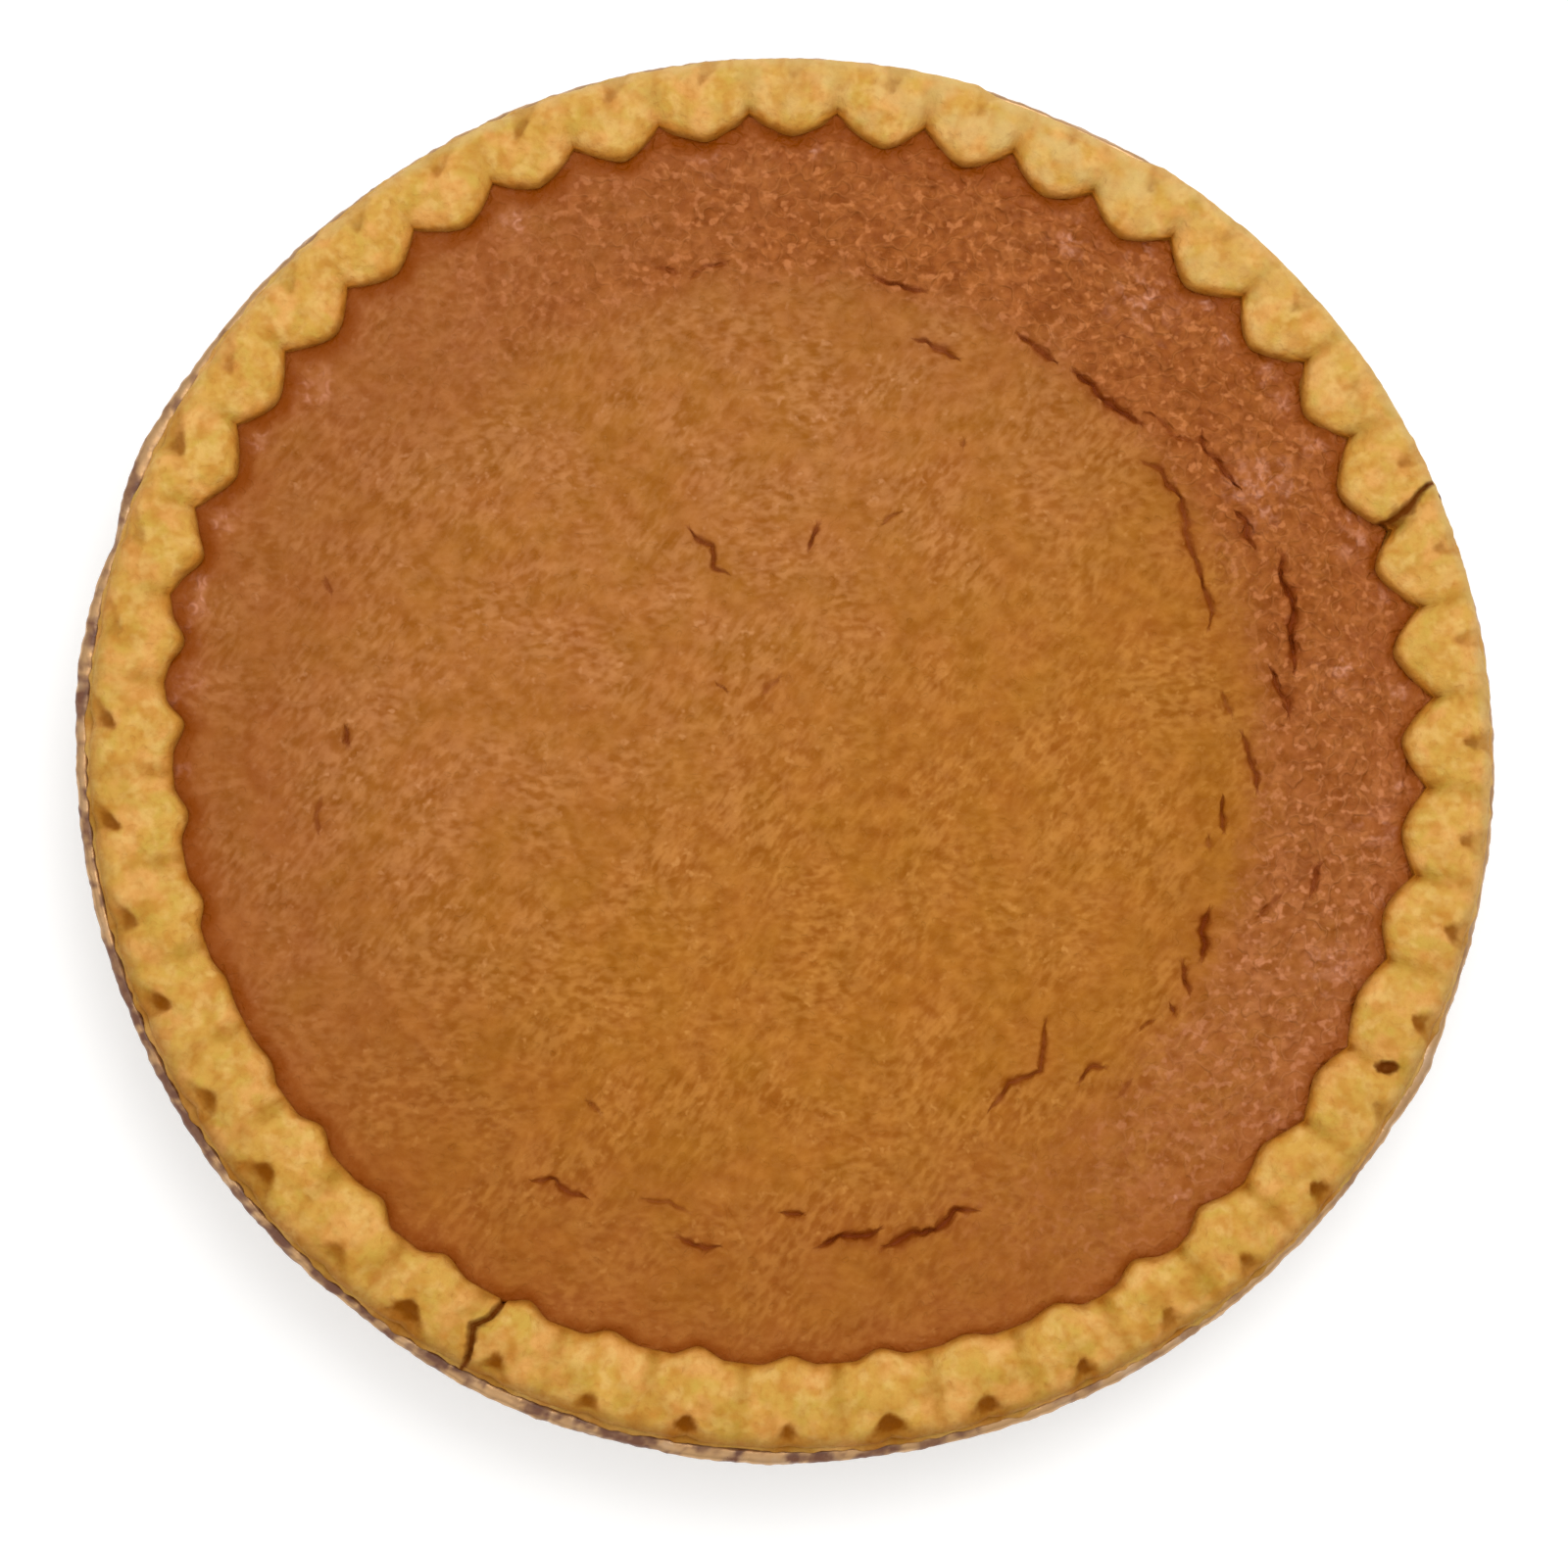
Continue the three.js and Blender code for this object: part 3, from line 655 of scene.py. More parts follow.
def makeBakedCustard(look):
    material, tree, shader = newMaterial("bakedCustard")
    colour = drifting(tree, look["middle"], look["rosy"], look["olive"], size=9 * mm, amount=0.6)
    colour = drifting(tree, colour, look["light"], look["dark"], size=4.5 * mm, amount=0.38)

    # fine streaks that lie one way here and another way there, in clusters, with painted glints on their
    # raised parts and painted shade between
    clusters = noiseMask(tree, 17 * mm, 0.35, 0.65, toLow=0.4, toHigh=0.9, detail=1.0)
    streak = place(tree, streaks, Scale=1 / (1.5 * mm), Length=1.8, Turn=math.radians(52))
    crossing = place(tree, streaks, Scale=1 / (1.7 * mm), Length=1.5, Turn=math.radians(5))
    streak = mixColour(tree, noiseMask(tree, 24 * mm, 0.42, 0.6, detail=1.0), streak, crossing)
    paintedStreakLight = mixColour(tree, streak, look["dark"], look["glint"])
    colour = mixColour(tree, times(tree, clusters, 0.4), colour, paintedStreakLight)
    colour = patches(tree, colour, look["glint"], size=2.0 * mm, low=0.62, high=0.78,
                     amount=times(tree, clusters, 0.6))
    colour = tinted(tree, valueOf(tree, "golden"), colour, look["goldenTint"])
    colour = tinted(tree, broken(tree, "outward", 22 * mm, 0.9), colour, look["outerTint"])

    # the puckered skin of the outer ring, with painted highlight on its ridges and painted shade in its
    # hollows
    puckered = broken(tree, "puckered", 14 * mm, 1.2)
    wandering = place(tree, crinkle, Scale=1 / (4.2 * mm))
    crinkleShading = mixColour(tree, wandering, look["hollow"], look["ridgeHighlight"])
    colour = mixColour(tree, times(tree, puckered, 0.3), colour, crinkleShading)
    colour = drifting(tree, colour, look["pinkish"], look["russet"], size=2.6 * mm,
                      amount=times(tree, puckered, 0.5))
    colour = patches(tree, colour, look["hollow"], size=2.9 * mm, low=0.54, high=0.7,
                     amount=times(tree, puckered, 0.3))
    colour = patches(tree, colour, look["ridgeHighlight"], size=2.2 * mm, low=0.55, high=0.7,
                     amount=times(tree, puckered, 0.65))
    reddened = times(tree, puckered, valueOf(tree, "reddened"))
    colour = tinted(tree, reddened, colour, look["puckerTint"])
    # rose tint, partly painted shade on the side away from the light
    rose = broken(tree, "rose", 6 * mm, 0.9)
    colour = mixColour(tree, times(tree, rose, 0.35), colour, look["rose"])

    # blisters of burst bubbles, with a painted pale highlight and a real coat
    speck = noiseMask(tree, 3.2 * mm, 0.42, 0.66)
    bubbles = times(tree, place(tree, foam, Scale=1 / (2.7 * mm)), 0.7)
    speck = times(tree, speck, plus(tree, bubbles, 0.3))
    blister = times(tree, speck, valueOf(tree, "blister"))
    colour = mixColour(tree, times(tree, blister, 0.85), colour, look["blisterHighlight"])
    wire(tree, times(tree, blister, 0.5), shader["Coat Weight"])
    shader["Coat Roughness"].default_value = look["coatRoughness"]

    # the dark band beside the crust: painted shadow over the custard's darker baked edge
    colour = mixColour(tree, broken(tree, "edge", 3 * mm, 0.8), colour, look["edge"])
    # painted shade on the sides of the cracks, then the dark crack core, partly painted shade
    colour = tinted(tree, valueOf(tree, "crackShade"), colour, look["crackShadeTint"])
    colour = mixColour(tree, valueOf(tree, "crack"), colour, look["crack"])
    wire(tree, colour, shader["Base Color"])
    sheen = noiseMask(tree, 3 * mm, 0.35, 0.65, toLow=0.36, toHigh=0.52)
    glossy = valueOf(tree, "glossy")
    sheen = mixColour(tree, glossy, sheen, maths(tree, "SUBTRACT", sheen, 0.12))
    wire(tree, sheen, shader["Roughness"])
    shader["Specular IOR Level"].default_value = look["specular"]
    height = reliefOf(tree, grain=1.1 * mm, pit=1.8 * mm, pits=0.6)
    raised = times(tree, streak, 0.5)
    ridges = times(tree, times(tree, wandering, valueOf(tree, "puckered")), 1.6)
    raised = plus(tree, raised, plus(tree, ridges, times(tree, blister, 1.2)))
    bumpFrom(tree, plus(tree, height, raised), 0.6, 0.4 * mm, shader["Normal"])
    return material


foilLook = {
    "bright": shade(218, 214, 210),
    "warm": shade(200, 190, 183),
    # brownish flange and bead: baked-on residue and a painted reflection of the brown pie
    "baked": shade(190, 150, 106),
    "darkBlotch": shade(106, 60, 32),
    "creaseShadeTint": (0.6, 0.58, 0.56, 1),  # painted shade in the pleat creases; darkens what lies under it
    "metallic": 0.92,  # less where the dark blotches are
}


def makePressedFoil(look):
    material, tree, shader = newMaterial("pressedFoil")
    colour = patches(tree, look["bright"], look["warm"], size=14 * mm, low=0.4, high=0.66, amount=0.4)
    # painted shade in the pleat creases
    colour = tinted(tree, valueOf(tree, "paintedCreaseShade"), colour, look["creaseShadeTint"])
    # brownish flange and bead: baked-on residue and a painted reflection of the brown pie
    colour = mixColour(tree, broken(tree, "baked", 6 * mm, 0.7), colour, look["baked"])
    darkBlotched = broken(tree, "darkBlotched", 4 * mm, 1.2)
    colour = mixColour(tree, darkBlotched, colour, look["darkBlotch"])
    wire(tree, colour, shader["Base Color"])
    wire(tree, maths(tree, "SUBTRACT", look["metallic"], darkBlotched, True), shader["Metallic"])
    wire(tree, noiseMask(tree, 5 * mm, 0.3, 0.7, toLow=0.26, toHigh=0.44), shader["Roughness"])
    height = reliefOf(tree, grain=2.5 * mm)
    wrinkled = times(tree, place(tree, crinkle, Scale=1 / (12 * mm)), 0.4)
    bumpFrom(tree, plus(tree, height, wrinkled), 0.35, 0.4 * mm, shader["Normal"])
    return material


bakedPastry = makeBakedPastry(pastryLook)
bakedCustard = makeBakedCustard(custardLook)
pressedFoil = makePressedFoil(foilLook)
print("materials ready")

# The foil tin: a thin pressed shell with a pleated wall and a rolled bead
wallRun = foil["wallTopRadius"] - foil["cornerRadius"]
wallRise = foil["wallTopHeight"] - foil["cornerHeight"]
wallLength = math.hypot(wallRun, wallRise)
sheetAcross = foil["sheet"] * wallRise / wallLength
sheetUp = foil["sheet"] * wallRun / wallLength


def wallRadius(height, inset):  # the inner face of the tin's wall, moved inwards
    foot = foil["cornerRadius"] - sheetAcross - inset * wallLength / wallRise
    return foot + (wallRun / wallRise) * (height - foil["cornerHeight"] - sheetUp)


def tinProfile():  # radius, height and how deep the pleats are, from the bottom's middle up and back
    beadMiddle = foil["outerRadius"] - foil["beadRadius"]
    flangeTop = foil["flangeHeight"] + foil["sheet"]
    flangeMeets = beadMiddle - math.sqrt(foil["beadRadius"] ** 2 - foil["sheet"] ** 2)
    profile = []
    for radius in (20, 40, 58, 60, 62, 80, 98, 100, 102, 112):
        rise = foil["bottomRingRise"] if radius in foil["bottomRings"] else 0
        profile.append((radius * mm, rise, 0))
    profile += [(foil["bottomRadius"], 0, 0), (foil["bottomRadius"] + 1.2 * mm, 0.3 * mm, 0)]
    for share in np.linspace(0, 1, 14):
        radius = mix(foil["cornerRadius"], foil["wallTopRadius"], share)
        height = mix(foil["cornerHeight"], foil["wallTopHeight"], share)
        profile.append((radius, height, 0.25 + 0.75 * share))
    profile += [(foil["flangeRadius"], foil["flangeHeight"], 0.6), (146 * mm, foil["flangeHeight"], 0.3)]
    for turn in np.radians(np.linspace(-175, 155, 18)):
        profile.append((beadMiddle + foil["beadRadius"] * math.cos(turn),
                        foil["flangeHeight"] + foil["beadRadius"] * math.sin(turn), 0.12))
    profile += [(flangeMeets, flangeTop, 0), (foil["flangeRadius"], flangeTop, 0)]
    profile += [(foil["wallTopRadius"] - sheetAcross, foil["wallTopHeight"] + sheetUp, 0)]
    profile += [(foil["cornerRadius"] - sheetAcross, foil["cornerHeight"] + sheetUp, 0)]
    profile += [(foil["bottomRadius"] - 0.3 * mm, foil["sheet"], 0)]
    return np.array(profile).T[:, :, None]


def makeTin():
    angle = np.linspace(0, 2 * math.pi, foil["columns"], endpoint=False)
    drifts = [amount * np.sin(waves * angle + start) for amount, waves, start in foil["pleatDrift"]]
    crease = (0.5 + 0.5 * np.cos(foil["pleats"] * angle + sum(drifts))) ** foil["pleatSharpness"]
    crease *= 0.7 + 0.3 * np.sin(17 * angle + 1) * np.sin(7 * angle)
    radius, height, pleat = tinProfile()
    rings = polarPoints(angle, radius, height)
    outerSide = smoothStep(0, 0.1, pleat)
    dent = foil["dents"] * outerSide * (0.5 + 0.5 * np.clip(lumps(rings, 9 * mm, 2), -1, 1))
    inwards = dent * np.where(pleat > 0.2, 1, 0.4) - pleat * (1 - crease) * foil["pleatDepth"]
    onRim = smoothStep(foil["outerRadius"] - 2 * foil["beadRadius"], foil["outerRadius"], radius)
    for turn, halfWidth, reach in foil["bulges"]:
        inwards = inwards - reach * onRim * near(angle, turn, halfWidth)
    inwards = inwards + foil["crinkle"] * onRim * lumps(rings, 2.6 * mm, 3)
    rings = polarPoints(angle, radius - inwards, height)
    points, faces = closedRings(rings, 0, foil["sheet"])

    height = rings[..., 2]
    flangeTop = foil["flangeHeight"] + foil["sheet"]
    # dark blotches on the bead and flange, strongest towards 222 degrees
    blotchSide = mix(0.3, 1, smoothStep(-0.1, 0.8, facing(angle, foil["blotchTowards"])))
    blotchNoise = lumps(rings, 3.2 * mm, 3) + 0.8 * lumps(rings, 14 * mm, 2)
    blotchNoise = smoothStep(-0.2, 0.6, blotchNoise + 0.5 * near(angle, *foil["blotchMost"]))
    values = {
        "darkBlotched": blotchSide * blotchNoise * smoothStep(foil["flangeHeight"] - 1.5 * mm, flangeTop, height),
        "baked": smoothStep(foil["flangeHeight"] - 0.8 * mm, flangeTop, height),
        "paintedCreaseShade": foil["creaseShade"] * pleat * crease,
    }
    values = {label: np.append(shown.ravel(), [0, 0]) for label, shown in values.items()}
    return makePiece("foilTin", points, faces, values, pressedFoil, "tin")


makeTin()
print("foil tin made")

# The crust's splits: angle and radius along each, the widths in millimetres at those points
# and the depth. The bubble is a burst hole with its own length and width.
crustDamage = {
    "splits": [
        {"path": [(243.1, 134), (242.7, 138), (241.7, 141), (242.5, 146), (242.7, 150)],
         "widths": [1.4, 1.9, 2.5, 1.9, 1.2], "depth": 1.7 * mm},
        {"path": [(20.3, 137.5), (20.6, 140), (21.0, 143.2), (21.9, 146.5), (22.3, 150)],
         "widths": [2.2, 3.2, 3.0, 1.7, 1.2], "depth": 1.4 * mm},
    ],
    "bubble": {"path": [(330.7, 141.8), (331.0, 144.4), (331.3, 147.2)],
               "width": 3.4 * mm, "depth": 1.3 * mm},
}
crustDetail = {
    "columnsPerFlute": 28,
    "sectionRows": 56,
    "creaseDepth": (0.7 * mm, 0.4 * mm, 50),  # deeper towards one side
    "creaseWidth": 1.4 * mm,
    # painted shade along the creases between flutes, strongest towards 320 degrees
    "creaseTone": (0.45, 0.3, 320),
    "creaseLine": 1.7 * mm,
    "creaseWander": 0.5 * mm,
    "valleyDepth": 0.5 * mm,
    "creaseRun": 0.35,  # how much of the crease is left beyond the rim's crest
    "wedgeDepth": 0.6 * mm,  # the folds open into a wedge at the custard's side
    "wedgeReach": (1.1 * mm, 0.4 * mm, 300),
    "wedgeWidth": 1.8 * mm,
    "wedgeStart": 0.6 * mm,
    # painted shade where each fold opens into a wedge, strongest towards 50 degrees
    "wedgeTone": (0.35, 0.3, 50),
    "notchShare": 0.3,  # how much of the thumb mark is cut from the foot; the rest is a hollow
    "thumbTip": 142.9 * mm,  # each thumb mark is a V with its tip here, open to the outside
    "thumbDepth": (1.0 * mm, 0.5 * mm, 230),
    # thumb marks are darkest towards 257 degrees, away from the light: real marks with painted shade
    "thumbTone": (0.7, 0.4, 257),
    "thumbStart": 0.4 * mm,  # half its width at the tip
    "thumbOpening": (0.72, 0.34, 225),  # how fast it widens
    "thumbSlant": 0.7,  # on one side of the pie the marks lean over
    "slantTowards": 150,
    "thumbForce": (0.75, 0.28),
    # a darker foot, strongest away from the light: real browning with painted shade
    "footTone": (0.27, 0.32, 262),
    "shadedTowards": 255,
    "foldShadeMost": (210, 38),  # angle and half width of the stretch with the darkest painted fold shade
    # the painted highlight is strongest on the side that faces the light
    "paleMost": (68, 30),
    "paleFootTowards": 55,
    "lump": 0.42 * mm,
    "knob": 0.2 * mm,
    "crumb": 0.13 * mm,
    "pit": 0.35 * mm,
    "pitShare": 0.16,
}


def columnTurns():  # even columns, with finer ones beside each split
    turns = np.arange(0, pastry["flutes"], 1 / crustDetail["columnsPerFlute"])
    for damage in crustDamage["splits"] + [crustDamage["bubble"]]:
        middle = np.mean([angle for angle, radius in damage["path"]]) * pastry["flutes"] / 360
        reach = 2.2 * mm / (140 * mm * flutePitch)
        fine = middle + np.linspace(-reach, reach, 23)
        turns = np.concatenate([turns[np.abs(turns - middle) > reach * 1.1], fine])
    return np.sort(turns)


def bendToPaths(angle, radius):  # columns near a split follow it; also gives the distances to it
    distances = []
    bent = np.array(np.broadcast_arrays(angle, radius)[0], float)
    for damage in crustDamage["splits"] + [crustDamage["bubble"]]:
        angles, radii = np.array(damage["path"]).T
        middle = math.radians(angles.mean())
        offset = angle - middle
        path = np.radians(np.interp(radius, radii * mm, angles))
        bent += (path - middle) * bump(offset, math.radians(3))
        distances.append(offset * radius)
    return bent, distances


def foldMarks(rim, rings, radius, inside):
    fromCleft = (rim["angle"] - rim["cleftAngle"]) * radius
    fromToe = radius - rim["inner"]
    fade = mix(crustDetail["creaseRun"], 1, smoothStep(0.4, 0.9, inside))
    wandered = fromCleft + crustDetail["creaseWander"] * lumps(rings, 5 * mm, 2)
    reach = swing(crustDetail["wedgeReach"], rim["angle"])
    opened = np.clip(1 - fromToe / reach, 0, 1)
    halfWidth = crustDetail["wedgeStart"] + crustDetail["wedgeWidth"] * opened
    return {
        "fromCleft": fromCleft,
        "fromToe": fromToe,
        "crease": bump(fromCleft, crustDetail["creaseWidth"]) * fade,
        "line": bump(wandered, crustDetail["creaseLine"]) * smoothStep(0, 0.2, inside),
        "valley": rim["share"][None, :] ** 2 * smoothStep(0.3, 0.75, inside),
        "wedge": smoothStep(1.3, 0.1, np.abs(fromCleft) / halfWidth) * smoothStep(2, 0.3, fromToe / reach),
    }


def thumbMarks(rim, rings, radius, flute):  # each mark, its arms and where it is pressed hardest
    fromLobe = (rim["angle"] - rim["lobeAngle"]) * radius
    tip = crustDetail["thumbTip"] + leanOf("thumbs", rim["angle"]) + 0.7 * mm * unevenness(flute, 10)
    beyond = radius - tip
    middle, spread = crustDetail["thumbForce"]
    force = middle + spread * unevenness(flute, 9)
    leaning = smoothStep(0.1, 0.9, facing(rim["angle"], crustDetail["slantTowards"]))
    slant = crustDetail["thumbSlant"] * leaning
    aside = fromLobe + slant * (beyond - 1.5 * mm) + 0.6 * mm * unevenness(flute, 11)
    aside = np.abs(aside + 0.7 * mm * lumps(rings, 3 * mm, 2))
    flare = swing(crustDetail["thumbOpening"], rim["angle"]) * (1 + 0.25 * unevenness(flute, 12))
    flare = crustDetail["thumbStart"] + flare * np.maximum(0, beyond)
    mark = smoothStep(1.25, 0.3, aside / flare) * smoothStep(-0.4 * mm, 1.8 * mm, beyond) * force
    arms = bump(aside - 0.6 * flare, 0.7 * mm) * smoothStep(0.6 * mm, 2.4 * mm, beyond) * force
    worn = smoothStep(5.2 * mm, 2.6 * mm, beyond + 0.8 * mm * lumps(rings, 1.8 * mm, 2))
    return {"thumb": mark, "arms": arms, "press": mark * mix(0.5, 1, worn)}


def splitMarks(rings, radius, inside, distances):  # how far each point sinks, and where it is dark
    sunk = []
    split = np.zeros_like(radius)
    for damage, distance in zip(crustDamage["splits"], distances):
        radii = [reach for turn, reach in damage["path"]]
        width = np.interp(radius / mm, radii, damage["widths"]) * mm
        ragged = width * (1 + 0.4 * lumps(rings, 2 * mm, 2))
        groove = np.clip(1 - np.abs(distance) / (ragged * 0.5), 0, 1) ** 0.7
        sunk.append(damage["depth"] * groove * smoothStep(0, 0.1, inside) * mix(1, 0.5, inside))
        split = np.maximum(split, np.clip(1.25 - np.abs(distance) / (ragged * 0.62), 0, 1))
    bubble = crustDamage["bubble"]
    radii = np.array([reach for turn, reach in bubble["path"]]) * mm
    along = (radius - radii.mean()) * 2 / (radii.max() - radii.min())
    across = distances[-1] * 2 / bubble["width"]
    away = np.hypot(along, across) * (1 + 0.25 * lumps(rings, 1.6 * mm, 2))
    sunk.append(bubble["depth"] * np.clip(1.15 - away ** 2, 0, 1))
    return sunk, np.maximum(split, smoothStep(1.15, 0.7, away))


def crustLip(rim, plainAngle):  # the thin ragged edge of pastry that is baked onto the foil's bead
    beadMiddle = foil["outerRadius"] - foil["beadRadius"]
    ragged = lumps(polarPoints(plainAngle, rim["lip"], 0), 4 * mm, 2)
    crumbs = mm * np.clip(0.45 + 0.9 * ragged, 0, 1.2)
    rings = []
    for out, rise, spread in ((0.5, 0, 1), (0.15, 0.1, 1), (0.05, 0.4, 0.6), (0.2, 0.8, 0.2), (0.6, 1, 0)):
        radius = np.minimum(rim["lip"] - out * mm + spread * crumbs, foil["outerRadius"] - 0.25 * mm)
        fromBead = foil["beadRadius"] ** 2 - (radius - beadMiddle) ** 2
        overBead = np.sqrt(np.maximum(fromBead, foil["sheet"] ** 2))
        lowest = foil["flangeHeight"] + overBead + 0.08 * mm
        rings.append(polarPoints(rim["angle"], radius, mix(lowest, pastry["lipTop"], rise)))
    return rings


def crustShell(rim, plainAngle):  # the rings below the rim and those inside the shell
    wallTop = foil["wallTopHeight"] + sheetUp
    flangeBottom = foil["flangeHeight"] + foil["sheet"] + gap
    baseBottom = foil["sheet"] + gap
    baseTop = baseBottom + pastry["baseThickness"]
    inset = gap + pastry["wallThickness"]
    corner = 1 * mm
    below = [
        (foil["bottomRadius"] - corner, baseBottom),
        (wallRadius(baseBottom + corner, gap), baseBottom + corner),
        (wallRadius(wallTop, gap), wallTop),
        (foil["flangeRadius"] - corner, flangeBottom),
        (pastry["flangeEdge"], flangeBottom),
        (pastry["flangeEdge"], pastry["lipBottom"]),
    ]
    above = [
        (wallRadius(pastry["wallTurnHeight"], inset), pastry["wallTurnHeight"]),
        (wallRadius(baseTop + corner, inset), baseTop + corner),
        (wallRadius(baseTop, inset) - corner, baseTop),
    ]
    below = [polarPoints(plainAngle, *size) for size in below] + crustLip(rim, plainAngle)
    return below, [polarPoints(plainAngle, *size) for size in above], baseBottom, baseTop


def crustTones(rim, rings, radius, up, marks):
    angle = rim["angle"]
    toToe = marks["fromToe"] + 0.5 * mm * lumps(rings, 3 * mm, 2)
    toFoot = rim["lip"] - pastry["footInset"] - radius + 0.9 * mm * marks["lump"]
    footTone = swing(crustDetail["footTone"], angle)
    wedge = swing(crustDetail["wedgeTone"], angle)
    thumb = swing(crustDetail["thumbTone"], angle)
    folded = near(angle, *crustDetail["foldShadeMost"])
    shaded = smoothStep(-0.3, 0.6, facing(angle, crustDetail["shadedTowards"]))
    palest = 0.6 * near(angle, *crustDetail["paleMost"])
    paleFoot = mix(0.15, 0.6, smoothStep(-0.2, 0.6, facing(angle, crustDetail["paleFootTowards"])))
    around = np.broadcast_to(angle * 140 * mm, radius.shape)
    streak = lumps(np.stack([around, radius * 0.28, 0 * radius], -1), 2.6 * mm, 3)
    fromCleft, fromToe = marks["fromCleft"], marks["fromToe"]
    return {
        # real toasting, with painted shade at the toe and in the fold wedges
        "toasted": (0.7 * smoothStep(2.6 * mm, 0.3 * mm, toToe) + wedge * marks["wedge"]
                    + 0.35 * smoothStep(0, 0.8, streak)
                    + (0.5 + 0.4 * marks["knob"]) * thumb * marks["thumb"]),
        # real browning, with painted shade in the fold wedges, at the toe and foot, in thumb marks and pits
        "browned": np.maximum.reduce([wedge * marks["wedge"] ** 1.5,
                                      (0.6 - 0.25 * rim["share"] ** 2) * smoothStep(1.4 * mm, 0, toToe),
                                      footTone * smoothStep(3.4 * mm, 0, toFoot),
                                      thumb * smoothStep(0.15, 0.85, marks["press"]),
                                      0.6 * thumb * marks["arms"], 0.15 * marks["pit"]]),
        # dark in the splits and thumb-mark tips: partly painted shade in these hollows
        "darkened": np.maximum(marks["split"], 0.3 * thumb * smoothStep(0.55, 0.95, marks["press"])),
        # painted shade in the folds and thumb marks, and on the rim's outer half on the side away from the
        # light
        "folded": (swing(crustDetail["creaseTone"], angle) * marks["line"]
                   + 0.5 * bump(fromCleft, 1.5 * mm) * bump(fromToe, 3.6 * mm)
                   + 1.15 * folded * bump(fromCleft, 1.8 * mm) * bump(fromToe - 5.2 * mm, 2 * mm)
                   + 0.35 * folded * bump(fromCleft, 1.9 * mm) * bump(fromToe - 2 * mm, 2 * mm)
                   + 0.5 * shaded * smoothStep(138 * mm, 142.5 * mm, radius)
                   * smoothStep(-0.7, 0.5, marks["lump"])
                   + 0.6 * thumb * marks["thumb"]),
        # painted highlight on lump tops, high parts and the foot, on the side facing the light
        "pale": (palest * smoothStep(-0.5, 0.4, marks["lump"]) * smoothStep(0.3, 0.8, up)
                 + paleFoot * smoothStep(3.6 * mm, 0.6 * mm, toFoot)),
    }


def makeCrust():
    turns = columnTurns()
    rim = rimAt(turns)
    rim["outer"] = mix(rim["lip"] - pastry["footInset"], rim["outer"], crustDetail["notchShare"])
    section = [rimSection(rim, step) for step in evenSteps(crustDetail["sectionRows"])]
    radius, height = np.array(section).transpose(1, 0, 2)
    angle, distances = bendToPaths(rim["angle"][None, :], radius)
    rings = polarPoints(angle, radius, height)
    normals = gridNormals(rings)

    inside = (rim["outer"] - radius) / (rim["outer"] - rim["inner"])  # 0 outside, 1 at the toe
    up = np.clip((height - pastry["toeHeight"]) / (pastry["lobeTop"] - pastry["toeHeight"]), 0, 1)
    ends = smoothStep(0, 0.12, inside) * smoothStep(0, 0.08, 1 - inside)
    marks = {**foldMarks(rim, rings, radius, inside), **thumbMarks(rim, rings, radius, np.round(turns))}
    sunk, marks["split"] = splitMarks(rings, radius, inside, distances)
    for kind, size in (("lump", 6 * mm), ("knob", 2.6 * mm), ("crumb", 1.3 * mm)):
        marks[kind] = lumps(rings, size, 2)
    marks["pit"] = pits(rings, 2.6 * mm, crustDetail["pitShare"])
    push = sum(crustDetail[kind] * marks[kind] for kind in ("lump", "knob", "crumb"))
    push = push - crustDetail["pit"] * marks["pit"] * up
    push = push * mix(0.3, 1, ends) * (1 - 0.6 * marks["crease"])
    for depth in sunk:
        push = push - depth
    drop = swing(crustDetail["creaseDepth"], rim["angle"]) * marks["crease"]
    drop = drop + crustDetail["valleyDepth"] * marks["valley"] + crustDetail["wedgeDepth"] * marks["wedge"]
    drop = drop + swing(crustDetail["thumbDepth"], rim["angle"]) * marks["thumb"]
    rings = rings + normals * push[..., None]
    rings[..., 2] -= drop * ends
    lowest = np.where(inside < 0.5, pastry["lipBottom"] + 0.5 * mm, pastry["toeHeight"] - 1.6 * mm)
    rings[..., 2] = np.maximum(rings[..., 2], lowest)

    below, above, baseBottom, baseTop = crustShell(rim, turns * flutePitch)
    points, faces = closedRings(np.concatenate([below, rings, above]), baseBottom, baseTop)
    values = crustTones(rim, rings, radius, up, marks)
    for label, shown in values.items():
        shown = np.clip(shown, 0, 1)
        before = np.tile(shown[0] * (0.5 if label == "browned" else 1), len(below))
        after = np.full(len(above) * len(turns) + 2, 0.2)
        values[label] = np.concatenate([before, shown.ravel(), after])
    return makePiece("bakedCrust", points, faces, values, bakedPastry, "crust")


makeCrust()
print("crust made")

